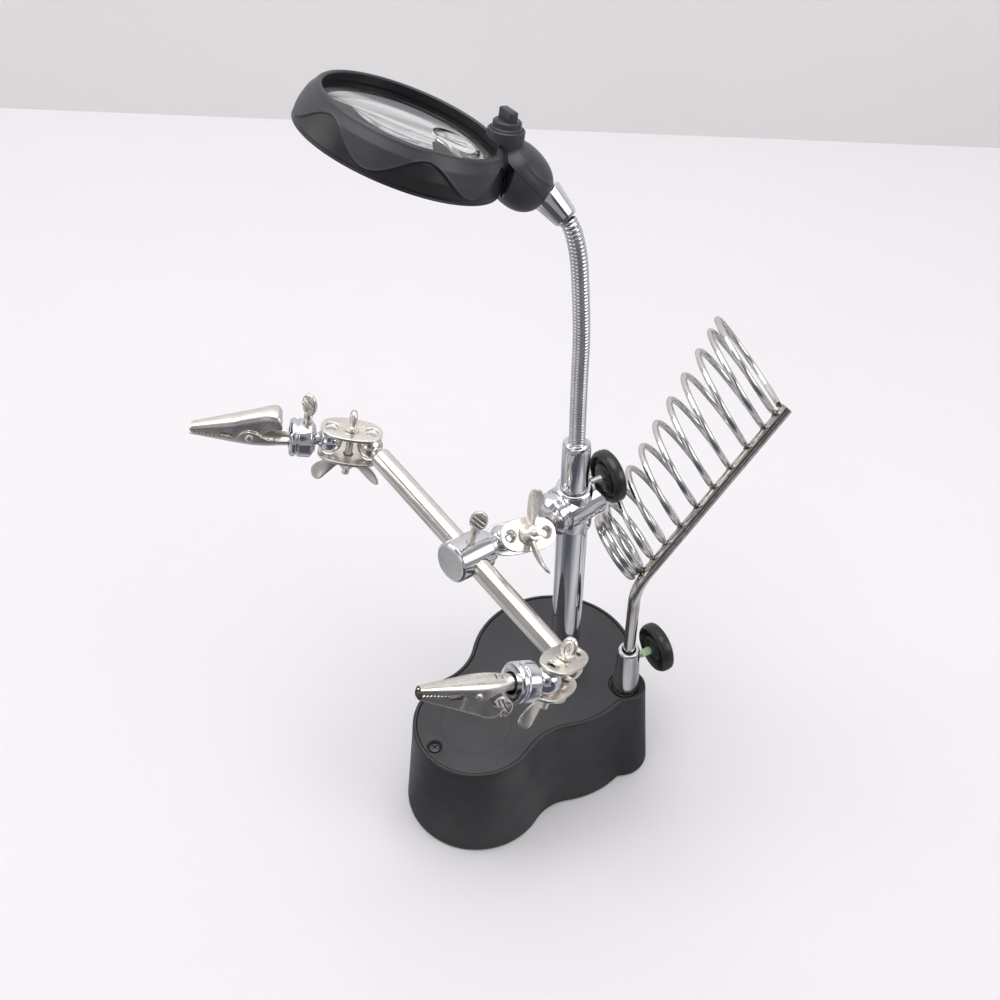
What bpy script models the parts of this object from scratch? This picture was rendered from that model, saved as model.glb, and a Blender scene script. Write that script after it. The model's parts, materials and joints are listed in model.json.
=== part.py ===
"""Helping hands clamp: a weighted base with a post, two croc clips on a cross
rod, a gooseneck magnifier with lamps and a coiled iron rest.

Frame: origin on the post's axis at the height of the feet, +Z up, the base's
front lobe towards -Y. Numbers are millimetres and degrees; MM turns
millimetres to metres. Every moving piece has its origin on its joint's axis,
with the axis along its local Z (slides along Z as well).
"""
import bpy
import bmesh
import math
from mathutils import Matrix, Vector

MM = 0.001
WORLD = Matrix.Identity(4)
UP = Vector((0, 0, 1))

for old in list(bpy.data.objects):
    bpy.data.objects.remove(old, do_unlink=True)

PARTS = bpy.data.collections.new("helping_hands_clamp")
CUTS = bpy.data.collections.new("cutters")
bpy.context.scene.collection.children.link(PARTS)
bpy.context.scene.collection.children.link(CUTS)

# ---------------------------------------------------------------- materials
# look: base colour, roughness, metallic
LOOKS = {
    "black_plastic": ((0.030, 0.031, 0.034), 0.48, 0.0),
    "black_knob": ((0.022, 0.023, 0.025), 0.36, 0.0),
    "soft_grip": ((0.050, 0.052, 0.056), 0.60, 0.0),
    "chrome": ((0.78, 0.79, 0.81), 0.10, 1.0),
    "nickel": ((0.80, 0.76, 0.70), 0.20, 1.0),
    "steel": ((0.55, 0.54, 0.53), 0.34, 1.0),
    "iron": ((0.12, 0.12, 0.12), 0.70, 1.0),
    "rubber": ((0.02, 0.02, 0.02), 0.85, 0.0),
    "lens": ((0.95, 0.97, 0.97), 0.03, 0.0),
    "led": ((0.90, 0.92, 0.88), 0.10, 0.0),
    "cell": ((0.50, 0.36, 0.16), 0.35, 0.4),
}


def material(look):
    """A new material of the given look; each piece has its own."""
    colour, roughness, metallic = LOOKS[look]
    mat = bpy.data.materials.new(look)
    mat.use_nodes = True
    shader = mat.node_tree.nodes["Principled BSDF"]
    shader.inputs["Base Color"].default_value = (*colour, 1)
    shader.inputs["Roughness"].default_value = roughness
    shader.inputs["Metallic"].default_value = metallic
    return mat


# --------------------------------------------------- directions and placing
def unit(x, y, z):
    return Vector((x, y, z)).normalized()


def perp(vector, axis):
    """Unit vector near the given one and square to axis."""
    axis = Vector(axis).normalized()
    vector = Vector(vector)
    return (vector - axis * vector.dot(axis)).normalized()


def horizontal(degrees):
    """Unit vector in plan, turned anticlockwise from +X."""
    angle = math.radians(degrees)
    return Vector((math.cos(angle), math.sin(angle), 0))


def frame(origin, z_axis=UP, x_axis=None):
    """World matrix at origin, local Z along z_axis and local X near x_axis."""
    z_axis = Vector(z_axis).normalized()
    if x_axis is None:
        x_axis = (1, 0, 0) if abs(z_axis.x) < 0.8 else (0, 1, 0)
    x_axis = Vector(x_axis)
    x_axis = (x_axis - z_axis * x_axis.dot(z_axis)).normalized()
    matrix = Matrix((x_axis, z_axis.cross(x_axis), z_axis)).transposed().to_4x4()
    matrix.translation = Vector(origin) * MM
    return matrix


# ------------------------------------------------------------ solid makers
def to_mesh(name, bm, outward=False):
    """Turn bm into a mesh, with its faces first turned outward if asked."""
    if outward:
        bmesh.ops.recalc_face_normals(bm, faces=bm.faces)
    mesh = bpy.data.meshes.new(name)
    bm.to_mesh(mesh)
    bm.free()
    return mesh


def put(name, mesh, place, look, smooth=True):
    if smooth:
        mesh.shade_smooth()
        mesh.set_sharp_from_angle(angle=math.radians(35))
    ob = bpy.data.objects.new(name, mesh)
    PARTS.objects.link(ob)
    ob.matrix_world = place
    if look:
        mesh.materials.append(material(look))
    return ob


def boolean(ob, tool, operation):
    """Combine ob with tool, which becomes a hidden helper."""
    PARTS.objects.unlink(tool)
    CUTS.objects.link(tool)
    tool.hide_render = True
    tool.display_type = 'WIRE'
    modifier = ob.modifiers.new(operation.lower(), 'BOOLEAN')
    modifier.operation = operation
    modifier.solver = 'EXACT'
    modifier.object = tool


def cut(ob, tool):
    boolean(ob, tool, 'DIFFERENCE')


def join(ob, tool):
    boolean(ob, tool, 'UNION')


def lathe(name, place, profile, look=None, segments=20):
    """Turned solid: profile is (radius, height), mostly from the top down.
    A profile that starts and ends on the axis is solid; any other is closed
    into a ring."""
    bm = bmesh.new()
    verts = [bm.verts.new((radius * MM, 0, z * MM)) for radius, z in profile]
    for start, end in zip(verts, verts[1:]):
        bm.edges.new((start, end))
    if profile[0][0] > 0 or profile[-1][0] > 0:
        bm.edges.new((verts[-1], verts[0]))
    ob = put(name, to_mesh(name, bm), place, look, smooth=False)
    screw = ob.modifiers.new("turn", 'SCREW')
    screw.axis = 'Z'
    screw.angle = 2 * math.pi
    screw.steps = screw.render_steps = segments
    screw.use_merge_vertices = True
    screw.merge_threshold = 0.00001
    screw.use_smooth_shade = True
    return ob


def rod(name, place, radius, z0, z1, look=None, segments=20):
    """Plain cylinder from z0 to z1."""
    bm = bmesh.new()
    bmesh.ops.create_cone(bm, cap_ends=True, segments=segments, radius1=radius * MM,
                          radius2=radius * MM, depth=(z1 - z0) * MM)
    bmesh.ops.translate(bm, verts=bm.verts, vec=(0, 0, (z0 + z1) / 2 * MM))
    return put(name, to_mesh(name, bm), place, look)


def box(name, place, low, high):
    """Block between two opposite corners."""
    bm = bmesh.new()
    bmesh.ops.create_cube(bm, size=1.0)
    for v in bm.verts:
        v.co = Vector([(a + (c + 0.5) * (b - a)) * MM for a, b, c in zip(low, high, v.co)])
    return put(name, to_mesh(name, bm), place, None, smooth=False)


def ellipsoid(name, place, segments, rings, shape, look=None):
    """Closed body: shape maps a point of the unit sphere to millimetres."""
    bm = bmesh.new()
    bmesh.ops.create_uvsphere(bm, u_segments=segments, v_segments=rings, radius=1.0)
    for v in bm.verts:
        v.co = Vector(shape(*v.co)) * MM
    return put(name, to_mesh(name, bm, outward=True), place, look)


def add_polyline(curve, points, cyclic):
    spline = curve.splines.new('POLY')
    spline.points.add(len(points) - 1)
    for target, (x, y, z) in zip(spline.points, points):
        target.co = (x * MM, y * MM, z * MM, 1)
    spline.use_cyclic_u = cyclic


def from_curve(name, curve, place, look):
    """Turn a curve datablock into a welded mesh object."""
    holder = bpy.data.objects.new(name + "_curve", curve)
    bpy.context.scene.collection.objects.link(holder)
    bpy.context.view_layer.update()
    depsgraph = bpy.context.evaluated_depsgraph_get()
    mesh = bpy.data.meshes.new_from_object(holder.evaluated_get(depsgraph))
    bpy.data.objects.remove(holder, do_unlink=True)
    bm = bmesh.new()
    bm.from_mesh(mesh)
    bmesh.ops.remove_doubles(bm, verts=bm.verts, dist=0.000005)
    bmesh.ops.recalc_face_normals(bm, faces=bm.faces)
    bm.to_mesh(mesh)
    bm.free()
    mesh.name = name
    mesh.materials.clear()
    return put(name, mesh, place, look)


def sheet(name, place, loops, z0, z1, look=None):
    """Flat plate: loops are closed outlines, the first is the outside."""
    curve = bpy.data.curves.new(name, 'CURVE')
    curve.dimensions = '2D'
    curve.fill_mode = 'BOTH'
    curve.extrude = (z1 - z0) / 2 * MM
    for loop in loops:
        add_polyline(curve, [(x, y, 0) for x, y in loop], True)
    middle = Matrix.Translation((0, 0, (z0 + z1) / 2 * MM))
    return from_curve(name, curve, place @ middle, look)


def wire(name, place, points, radius, look=None, cyclic=False, resolution=2):
    """Round wire along local points."""
    curve = bpy.data.curves.new(name, 'CURVE')
    curve.dimensions = '3D'
    curve.bevel_depth = radius * MM
    curve.bevel_resolution = resolution
    curve.use_fill_caps = True
    add_polyline(curve, points, cyclic)
    return from_curve(name, curve, place, look)


def loft(name, place, sections, look, closed=False):
    """Solid through sections of equal point count; closed joins last to first."""
    bm = bmesh.new()
    rows = [[bm.verts.new(Vector(p) * MM) for p in section] for section in sections]
    count = len(rows[0])
    pairs = list(zip(rows, rows[1:]))
    if closed:
        pairs.append((rows[-1], rows[0]))
    for a, b in pairs:
        for i in range(count):
            j = (i + 1) % count
            bm.faces.new((a[i], a[j], b[j], b[i]))
    if not closed:
        for row in (rows[0], rows[-1]):
            for i in range(count // 2 - 1):  # the ends are strips across the wall
                bm.faces.new((row[i], row[i + 1], row[count - 2 - i], row[count - 1 - i]))
    return put(name, to_mesh(name, bm, outward=True), place, look)


# ---------------------------------------------------------- plane outlines
def circle(radius, count, centre=(0, 0)):
    angles = [2 * math.pi * i / count for i in range(count)]
    return [(centre[0] + radius * math.cos(a), centre[1] + radius * math.sin(a)) for a in angles]


def arc(radius, start, count):
    """Points about the origin, 20 degrees apart from start."""
    angles = [math.radians(start + 20 * i) for i in range(count)]
    return [(radius * math.cos(a), radius * math.sin(a)) for a in angles]


def rectangle(x0, y0, x1, y1, inset=0.0):
    x0, y0, x1, y1 = x0 + inset, y0 + inset, x1 - inset, y1 - inset
    return [(x0, y0), (x1, y0), (x1, y1), (x0, y1)]


# --------------------------------------------------------------------- base
BASE_TOP = 58.5          # top of the rim
# lobes and the concave fillets between them are circles: centre, radius
FRONT_LOBE = ((-3.5, -55.2), 29.3)
REAR_LOBE = ((-3.5, -3.5), 39.2)
SMALL_LOBE = ((30.5, 9.6), 9.7)      # holds the iron rest
FRONT_X, FRONT_Y = FRONT_LOBE[0]
SMALL_X, SMALL_Y = SMALL_LOBE[0]
WAIST_FILLET, SMALL_FILLET = 26.0, 7.0
OUTLINE_STEP = 7.0       # target length of an outline's sides
DRAFT = 4.2              # how far the foot of the wall stands out
# section of the wall: offset from the outline, height
WALL = [
    (-1.4, BASE_TOP), (-0.6, BASE_TOP), (0.0, BASE_TOP - 0.6), (DRAFT, 0.8),
    (DRAFT - 2.2, 0.8), (-3.6, BASE_TOP - 6.1), (-3.6, BASE_TOP - 3.1), (-1.4, BASE_TOP - 3.1),
]
COVER_SCREWS = [(FRONT_X - 22.5, FRONT_Y + 4.0), (FRONT_X - 4.0, FRONT_Y - 22.5)]
BOTTOM_Z0, BOTTOM_Z1 = 2.9, 4.9
DOOR_OPENING = (-31, -19.5, 21, 20.5)
DOOR_GAP = 0.4
BATTERY_PITCH = 13.0
BATTERY_MID_Y = (DOOR_OPENING[1] + DOOR_OPENING[3]) / 2
FEET = [(FRONT_X, FRONT_Y - 18), (-36.5, 5.5), (27.0, 6.5)]
POST_R = 6.8
POST_TOP = 174.0


def tangent_circle(first, second, radius, side):
    """Circle outside both given ones and touching them, on the given side of
    the line from first to second (+1 is left)."""
    (x1, y1), radius1 = first
    (x2, y2), radius2 = second
    span = math.hypot(x2 - x1, y2 - y1)
    reach1, reach2 = radius1 + radius, radius2 + radius
    along = (span * span + reach1 * reach1 - reach2 * reach2) / (2 * span)
    across = math.sqrt(reach1 * reach1 - along * along) * side
    ux, uy = (x2 - x1) / span, (y2 - y1) / span
    return (x1 + ux * along - uy * across, y1 + uy * along + ux * across), radius


def outline(offset=0.0):
    """Base plan, grown by offset, as points anticlockwise."""
    circles = [
        FRONT_LOBE,
        tangent_circle(FRONT_LOBE, REAR_LOBE, WAIST_FILLET, -1),
        REAR_LOBE,
        tangent_circle(REAR_LOBE, SMALL_LOBE, SMALL_FILLET, -1),
        SMALL_LOBE,
        tangent_circle(REAR_LOBE, SMALL_LOBE, SMALL_FILLET, 1),
        REAR_LOBE,
        tangent_circle(FRONT_LOBE, REAR_LOBE, WAIST_FILLET, 1),
    ]
    points = []
    for k, ((x, y), radius) in enumerate(circles):
        turn = -1 if k % 2 else 1        # fillets run clockwise
        before, after = circles[k - 1][0], circles[(k + 1) % len(circles)][0]
        start = math.atan2(before[1] - y, before[0] - x)
        end = math.atan2(after[1] - y, after[0] - x)
        if turn * (end - start) < 0:
            end += turn * 2 * math.pi
        count = max(2, round(abs(end - start) * radius / OUTLINE_STEP))
        grown = radius + turn * offset
        for i in range(count):
            angle = start + (end - start) * i / count
            points.append((x + grown * math.cos(angle), y + grown * math.sin(angle)))
    return points


def base_shell():
    loops = [[(x, y, z) for x, y in outline(offset)] for offset, z in WALL]
    loft("base_shell", WORLD, loops, "black_plastic", closed=True)


def base_cover():
    holes = [circle(POST_R + 0.4, 24), circle(6.9, 20, SMALL_LOBE[0])]
    cover = sheet("base_cover", WORLD, [outline(-1.75)] + holes,
                  BASE_TOP - 2.8, BASE_TOP - 0.3, "black_plastic")
    countersink = [(0, 60), (3.2, 60), (3.2, 56.5), (1.7, 56.5), (1.7, 50), (0, 50)]
    screw = [(0, 57.9), (2.2, 57.9), (2.8, 57.4), (1.35, 56.7), (1.35, 50.5), (0, 50)]
    for i, (x, y) in enumerate(COVER_SCREWS):
        place = frame((x, y, 0))
        cut(cover, lathe(f"cut_cover_{i}", place, countersink))
        lathe(f"cover_screw_{i + 1}", place, screw, "black_knob")


def bottom_and_door():
    sheet("bottom_plate", WORLD, [outline(DRAFT - 3.0), rectangle(*DOOR_OPENING)],
          BOTTOM_Z0, BOTTOM_Z1, "black_plastic")
    door = sheet("battery_door", WORLD, [rectangle(*DOOR_OPENING, inset=DOOR_GAP)],
                 BOTTOM_Z0, BOTTOM_Z1, "black_plastic")
    # round pad on the post's axis, down to the height of the feet
    join(door, rod("add_door_pad", WORLD, 5.0, 0.0, BOTTOM_Z0 + 0.5, segments=24))


def base_contents():
    cell = [(0, 44.5), (1.9, 44.5), (1.9, 43.6), (5.2, 43.6), (5.2, 0), (0, 0)]
    for i in range(3):
        y = BATTERY_MID_Y + (i - 1) * BATTERY_PITCH
        lathe(f"battery_{i + 1}", frame((-27.0, y, 11.0), (1, 0, 0)), cell, "cell", 18)
    lathe("ballast_weight", frame((FRONT_X, FRONT_Y - 1, 0)),
          [(0, 31.0), (24.0, 31.0), (25.0, 30.0), (25.0, 5.4), (0, 5.4)], "iron", 24)


def feet():
    foot = [(0, 2.6), (5.5, 2.6), (5.5, 0.5), (5.0, 0), (0, 0)]
    for i, (x, y) in enumerate(FEET):
        lathe(f"foot_{i + 1}", frame((x, y, 0)), foot, "rubber")


def post_tube():
    lathe("post_tube", WORLD,
          [(POST_R, POST_TOP), (POST_R, 55.2), (12.0, 55.2), (12.0, 50.4), (5.6, 50.4),
           (5.6, POST_TOP)], "chrome", 24)


# ------------------------------------------------- knobs and rest socket
KNOB_DIR = horizontal(73.0)          # both knobs' screws
REST_SCREW_Z = 78.0
# dished disc of both knobs: radius, height
KNOB = [
    (0, 4.4), (8.5, 4.4), (10.7, 3.6), (11.7, 1.8), (11.7, -0.2), (10.8, -1.4),
    (9.5, -2.0), (8.8, -1.0), (7.3, -0.4), (6.4, -1.0), (6.0, -2.2),
]


def knob(name, place, height, screw_radius, tip):
    """Disc at the given height on a screw that reaches in to tip."""
    disc = [(radius, z + height) for radius, z in KNOB]
    screw = [(screw_radius, height + KNOB[-1][1]), (screw_radius, tip), (0, tip)]
    lathe(name, place, disc + screw, "black_knob", 22)


def rest_socket():
    """Socket for the iron rest, standing in the small lobe, and its knob."""
    socket = lathe("rest_socket", frame((SMALL_X, SMALL_Y, 0)),
                   [(4.7, 86.0), (5.0, 85.7), (6.4, 58.0), (6.4, 55.9), (5.6, 55.5),
                    (5.6, 50.2), (3.1, 50.2), (3.1, 86.0)], "chrome")
    place = frame((SMALL_X, SMALL_Y, REST_SCREW_Z), KNOB_DIR)
    cut(socket, rod("cut_rest_socket", place, 1.9, 2, 12, segments=14))
    knob("rest_knob", place, height=14.2, screw_radius=1.6, tip=3.3)


# --------------------------------------------------- T joint, knob, ball stud
T_CENTRE = Vector((0, 0, 170.0))
T_CROSS_DIR = horizontal(82.0)       # the T's cross tube
STUD_BACK = horizontal(90 + 4.5)     # from the stud's ball to the post
UPPER_KNOB = T_CENTRE + UP * 8.0
BALL_R = 5.5
STUD_REACH = 23.5                    # post axis to the stud's ball
STUD_BALL = T_CENTRE - STUD_BACK * STUD_REACH


def ball_end(neck_radius):
    """Profile of a ball about the origin, from its neck down to its far pole."""
    neck_angle = math.pi - math.asin(neck_radius / BALL_R)
    angles = [neck_angle * i / 7 for i in range(7, -1, -1)]
    return [(BALL_R * math.sin(a), -BALL_R * math.cos(a)) for a in angles]


def t_joint():
    joint = lathe("t_joint", frame(T_CENTRE),
                  [(0, 12.2), (7.6, 12.2), (8.3, 11.5), (8.3, -16.4), (7.6, -17.4), (0, -17.4)],
                  "chrome", 22)
    cross = [(0, 11.3), (8.6, 11.3), (9.6, 10.3), (9.6, -7.6), (8.2, -8.2), (8.2, -9.6),
             (9.4, -10.2), (9.4, -12.4), (7.0, -15.0), (0, -15.6)]
    join(joint, lathe("add_t_cross", frame(T_CENTRE, T_CROSS_DIR), cross, segments=22))
    cut(joint, rod("cut_t_post", frame(T_CENTRE), POST_R + 0.3, -30, 20, segments=24))
    cut(joint, rod("cut_t_front", frame(T_CENTRE, STUD_BACK), 3.1, -25, -5, segments=14))
    place = frame(UPPER_KNOB, KNOB_DIR)
    cut(joint, rod("cut_t_rear", place, 2.2, 4, 20, segments=14))
    knob("upper_knob", place, height=15.4, screw_radius=1.9, tip=7.3)


def ball_stud():
    lathe("ball_stud", frame(STUD_BALL, STUD_BACK),
          [(0, 16.2), (2.8, 16.2), (2.8, 6.4)] + ball_end(2.7), "nickel", 18)


# ------------------------------------------------------------------- clamps
PLATE_L, PLATE_W, PLATE_T = 26.0, 14.5, 1.5
PLATE_GAP = 5.8          # mid plane to a plate's inner face
PLATE_OUT = PLATE_GAP + PLATE_T
BALL_PITCH = 17.0        # ball to ball in a clamp
# one wing of the nut: distance from the bolt's axis, height above the plate
WING = [
    (3.0, 1.2), (6.5, 1.7), (11.5, 3.6), (15.5, 5.4), (18.2, 8.2), (18.8, 11.4),
    (17.0, 13.4), (13.8, 12.4), (10.0, 8.4), (6.0, 5.0), (3.0, 4.4),
]
WING_ROOT = WING[0][0]
CENTRE_DIR = unit(-0.341, -0.895, 0.288)     # centre clamp, from the stud's ball
CENTRE_NUT = (0.662, -0.032, 0.743)          # side of the centre clamp's nut
CENTRE_WING = (-0.5491, 0.4689, 0.6494)
REAR_RIGHT = (0.70, 0.71, 0.01)              # centre eye and left wings


def superellipse(half_length, half_width, exponent, count, centre_x):
    points = []
    for i in range(count):
        angle = 2 * math.pi * i / count
        c, s = math.cos(angle), math.sin(angle)
        points.append((centre_x + half_length * math.copysign(abs(c) ** (2 / exponent), c),
                       half_width * math.copysign(abs(s) ** (2 / exponent), s)))
    return points


def clamp_plates(name, ball, along, normal):
    middle = BALL_PITCH / 2
    loops = [superellipse(PLATE_L / 2, PLATE_W / 2, 2.5, 24, middle),
             circle(2.0, 10, (middle, 0)), circle(2.4, 10), circle(2.4, 10, (BALL_PITCH, 0))]
    for side, z0 in (("a", PLATE_GAP), ("b", -PLATE_OUT)):
        sheet(f"{name}_plate_{side}", frame(ball, normal, along), loops,
              z0, z0 + PLATE_T, "nickel")


def eye_bolt(name, place):
    bolt = rod(f"{name}_bolt", place, 1.65, -(PLATE_OUT + 9.5), PLATE_OUT + 1.6, "nickel", 14)
    angles = [2 * math.pi * i / 12 for i in range(12)]
    points = [(1.75 * math.sin(a), 0, PLATE_OUT + 5.6 + 4.4 * math.cos(a)) for a in angles]
    join(bolt, wire(f"add_{name}_eye", place, points, 1.15, cyclic=True, resolution=1))


def wing_nut(name, middle, normal, wing, spread):
    """Nut on the -normal side, its local Z away from the plates. A spread
    below 1 makes the wings shorter and a little taller."""
    hub = [(1.95, 5.2), (3.4, 5.2), (4.7, 0.9), (4.7, 0.3), (1.95, 0.3)]
    nut = lathe(f"{name}_wing_nut", frame(middle, -normal, wing),
                [(radius, PLATE_OUT + z) for radius, z in hub], "nickel", 18)
    shape = [(WING_ROOT + (x - WING_ROOT) * spread, y * (1.25 - 0.25 * spread) + PLATE_OUT)
             for x, y in WING]
    for tag, sign in (("p", 1), ("m", -1)):
        place = frame(middle, normal.cross(wing) * sign, wing * sign)  # local Y is -normal
        join(nut, sheet(f"add_{name}_wing_{tag}", place, [shape], -0.85, 0.85))


def clamp(name, ball, along, normal, wing, eye, spread=1.0):
    """Two plates that pinch a ball at each end, their eye bolt and wing nut.
    The eye is on the +normal side and the nut on the other."""
    middle = ball + along * (BALL_PITCH / 2)
    clamp_plates(name, ball, along, normal)
    eye_bolt(name, frame(middle, normal, perp(eye, normal)))
    wing_nut(name, middle, normal, perp(wing, normal), spread)


def thumb_screw(name, origin, axis, face, tip, shank_end):
    """Screw with a flat oval head: local Z out of the hole, the head's flat
    sides towards face."""
    place = frame(origin, axis, face)
    screw = rod(name, place, 1.5, tip, shank_end + 3, "nickel", 14)
    join(screw, ellipsoid("add_" + name, place, 12, 8,
                          lambda x, y, z: (x * 1.75, y * 4.5, z * 7.6 + shank_end + 7.0)))


# --------------------------------------------------------- block and cross rod
ROD_R = 4.5
ROD_DIR = unit(0.984, -0.098, -0.147)                # left to right
BLOCK_DIR = perp((-0.10, -0.972, 0.21), ROD_DIR)     # from the ball to the rod
BLOCK_REACH = 18.9                                   # ball to rod axis
BLOCK_SCREW_DIR = BLOCK_DIR.cross(ROD_DIR).normalized()      # upward
BLOCK_BALL = STUD_BALL + CENTRE_DIR * BALL_PITCH
ROD_CENTRE = BLOCK_BALL + BLOCK_DIR * BLOCK_REACH
ROD_LEFT, ROD_RIGHT = 67.4, 63.7                     # block's bore to each end ball
LEFT_BALL = ROD_CENTRE - ROD_DIR * ROD_LEFT
RIGHT_BALL = ROD_CENTRE + ROD_DIR * ROD_RIGHT


def rod_block():
    body = [(0, 28.6), (8.0, 28.6), (8.6, 28.0), (8.6, 11.4), (8.0, 10.8), (6.6, 10.8),
            (6.6, 6.4), (2.6, 6.0)]
    block = lathe("rod_block", frame(BLOCK_BALL, BLOCK_DIR), body + ball_end(2.6), "chrome", 24)
    cut(block, rod("cut_block_rod", frame(ROD_CENTRE, ROD_DIR), ROD_R + 0.35, -12, 12))
    origin = ROD_CENTRE + BLOCK_DIR * 1.6
    cut(block, rod("cut_block_screw", frame(origin, BLOCK_SCREW_DIR), 1.8, 3, 12, segments=14))
    thumb_screw("block_screw", origin, BLOCK_SCREW_DIR, BLOCK_DIR, ROD_R + 0.45, 18.5)


def cross_rod():
    end = [(ROD_R, 7.6), (3.8, 6.6), (2.8, 6.2)] + ball_end(2.8)
    right = [(radius, ROD_RIGHT - z) for radius, z in reversed(end)]
    left = [(radius, z - ROD_LEFT) for radius, z in end]
    lathe("cross_rod", frame(ROD_CENTRE, ROD_DIR), right + left, "nickel", 18)


# ------------------------------------------------------------------ side arms
# jaws: x along the clip, half width, depth, height of the arc's centre, wall edge
FIXED_JAW = [
    (-9.5, 3.5, 3.5, 0, 0.3), (-1.0, 3.5, 3.5, 0, 0.3), (3.0, 3.9, 3.6, 0, 0.4),
    (8.0, 4.8, 3.9, 0, 0.6), (12.0, 5.1, 4.0, 0, 2.6), (14.0, 5.1, 4.0, 0, 4.2),
    (17.0, 4.9, 3.9, 0, 4.8), (20.0, 4.6, 3.7, 0, 3.4), (22.0, 4.3, 3.5, 0, 0.4),
    (41.0, 1.7, 1.6, 0, 0.0),
]
MOVING_JAW = [
    (2.6, 5.0, 2.6, 15.4, 14.6), (5.0, 4.7, 3.2, 13.6, 12.0), (9.0, 4.2, 3.4, 10.6, 7.6),
    (13.0, 4.0, 3.4, 8.0, 0.8), (18.0, 3.7, 3.3, 5.4, 0.0), (21.0, 3.4, 3.2, 4.3, 1.2),
    (22.4, 4.1, 3.3, 4.0, 1.3), (41.0, 1.8, 1.5, 1.0, 0.5),
]
JAW_WALL = 0.8
JAW_GAP = 0.9            # between the jaws' edges, ahead of MEET_X
MEET_X = 21
TOOTH_PITCH, TOOTH_H = 2.0, 0.45
TOOTH_X = [27.0 + i * TOOTH_PITCH / 2 for i in range(13)]    # roots and tips in turn
TOOTH_TIPS = TOOTH_X[1::2]
RIVET_X, RIVET_Z = 16.6, 1.6         # along the clip and above its axis
SOCKET_R = 8.1
SOCKET_BACK, SOCKET_MOUTH = 6.0, 17.2        # from the ball's centre


def trough(half_width, depth, centre, edge, side):
    """U section across a jaw as (y, z), floor below for side 1, above for -1."""
    def wall(inset):
        width, height = half_width - inset, depth - inset
        angles = [math.pi * (1 + i / 3) for i in range(4)]
        floor = [(width * math.cos(a), centre + side * height * math.sin(a)) for a in angles]
        return [(-width, edge)] + floor + [(width, edge)]
    return wall(0) + wall(JAW_WALL)[::-1]


def interpolate(stations, x):
    """The station's values after x, worked out between its neighbours."""
    for (x0, *start), (x1, *end) in zip(stations, stations[1:]):
        if x <= x1:
            k = (x - x0) / (x1 - x0)
            return [a + (b - a) * k for a, b in zip(start, end)]


def jaw(name, place, stations, origin, moving):
    """One jaw; origin is its local origin in the clip's x and z."""
    sections = []
    for x in sorted({row[0] for row in stations} | set(TOOTH_X)):
        half_width, depth, centre, edge = interpolate(stations, x)
        if moving and x > MEET_X:
            edge = max(edge, interpolate(FIXED_JAW, x)[3] + JAW_GAP)
        elif not moving and x in TOOTH_TIPS:
            edge += TOOTH_H
        section = trough(half_width, depth, centre, edge, -1 if moving else 1)
        sections.append([(x - origin[0], y, z - origin[1]) for y, z in section])
    loft(name, place, sections, "nickel")


def clip_socket(name, ball, out, screw):
    place = frame(ball, out)
    profile = [(0, SOCKET_MOUTH), (7.5, SOCKET_MOUTH), (SOCKET_R, SOCKET_MOUTH - 0.6),
               (SOCKET_R, SOCKET_BACK + 1.8), (5.4, SOCKET_BACK), (2.6, SOCKET_BACK)]
    return place, profile


def side_arm(name, ball, along, normal, out, up_side, wing, eye, screw, spread):
    """Clamp, clip socket and croc clip at one end of the cross rod. The clip's
    moving jaw is on the normal's side for up_side 1, opposite for -1."""
    normal = perp(normal, along)
    clamp(name, ball, along, normal, wing, eye, spread)
    up = perp(normal * up_side, out)
    end_ball = ball + along * BALL_PITCH
    place = frame(end_ball, out, up)
    profile = [(0, SOCKET_MOUTH), (7.5, SOCKET_MOUTH), (SOCKET_R, SOCKET_MOUTH - 0.6),
               (SOCKET_R, SOCKET_BACK + 1.8), (5.4, SOCKET_BACK), (2.6, SOCKET_BACK)]
    socket = lathe(f"{name}_socket", place, profile + ball_end(2.6), "chrome")
    cut(socket, rod(f"cut_{name}_bore", place, 4.5, SOCKET_BACK + 1.2, SOCKET_MOUTH + 2,
                    segments=24))
    screw = perp(screw, out)
    origin = end_ball + out * 10.2
    cut(socket, rod(f"cut_{name}_screw", frame(origin, screw), 1.8, 3.0, 12, segments=14))
    thumb_screw(f"{name}_socket_screw", origin, screw, out, 4.6, 13.2)
    mouth = end_ball + out * SOCKET_MOUTH
    jaw(f"{name}_clip_body", frame(mouth, up, out), FIXED_JAW, (0, 0), False)
    rivet = mouth + out * RIVET_X + up * RIVET_Z
    jaw(f"{name}_clip_jaw", frame(rivet, up, out), MOVING_JAW, (RIVET_X, RIVET_Z), True)


def side_arms():
    side_arm("left", LEFT_BALL, along=unit(-0.722, -0.670, 0.174), normal=(0, 0.172, 0.985),
             out=unit(-0.635, -0.751, 0.179), up_side=1, wing=REAR_RIGHT,
             eye=(0.8, 0.6, 0), screw=(0.184, 0.353, 0.917), spread=0.72)
    side_arm("right", RIGHT_BALL, along=unit(0.125, -0.879, 0.461), normal=(0, 0.42, 0.90),
             out=unit(-0.30, -0.851, 0.431), up_side=-1, wing=(0.132, -0.843, 0.453),
             eye=(0.75, 0.6, 0), screw=(-0.236, -0.124, -0.96), spread=0.84)


# ------------------------------------------------------------------ gooseneck
# centre line: reach from the post's axis, height
NECK_PATH = [
    (0, 208.0), (0.3, 222), (0.6, 240), (0.8, 262), (1.9, 279.5), (3.6, 297.0),
    (5.4, 306.0), (7.6, 311.9), (10.0, 315.1),
]
NECK_R = 3.4
NECK_SEGMENTS = 5
NECK_STEPS = 12                              # curve steps in a segment
NECK_GAP = 0.4                               # cut back at each end of a segment
REACH_DIR = unit(-0.996, -0.088, 0)          # the way the neck leans
NECK_SIDE = REACH_DIR.cross(UP).normalized()         # axis of its bend


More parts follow.
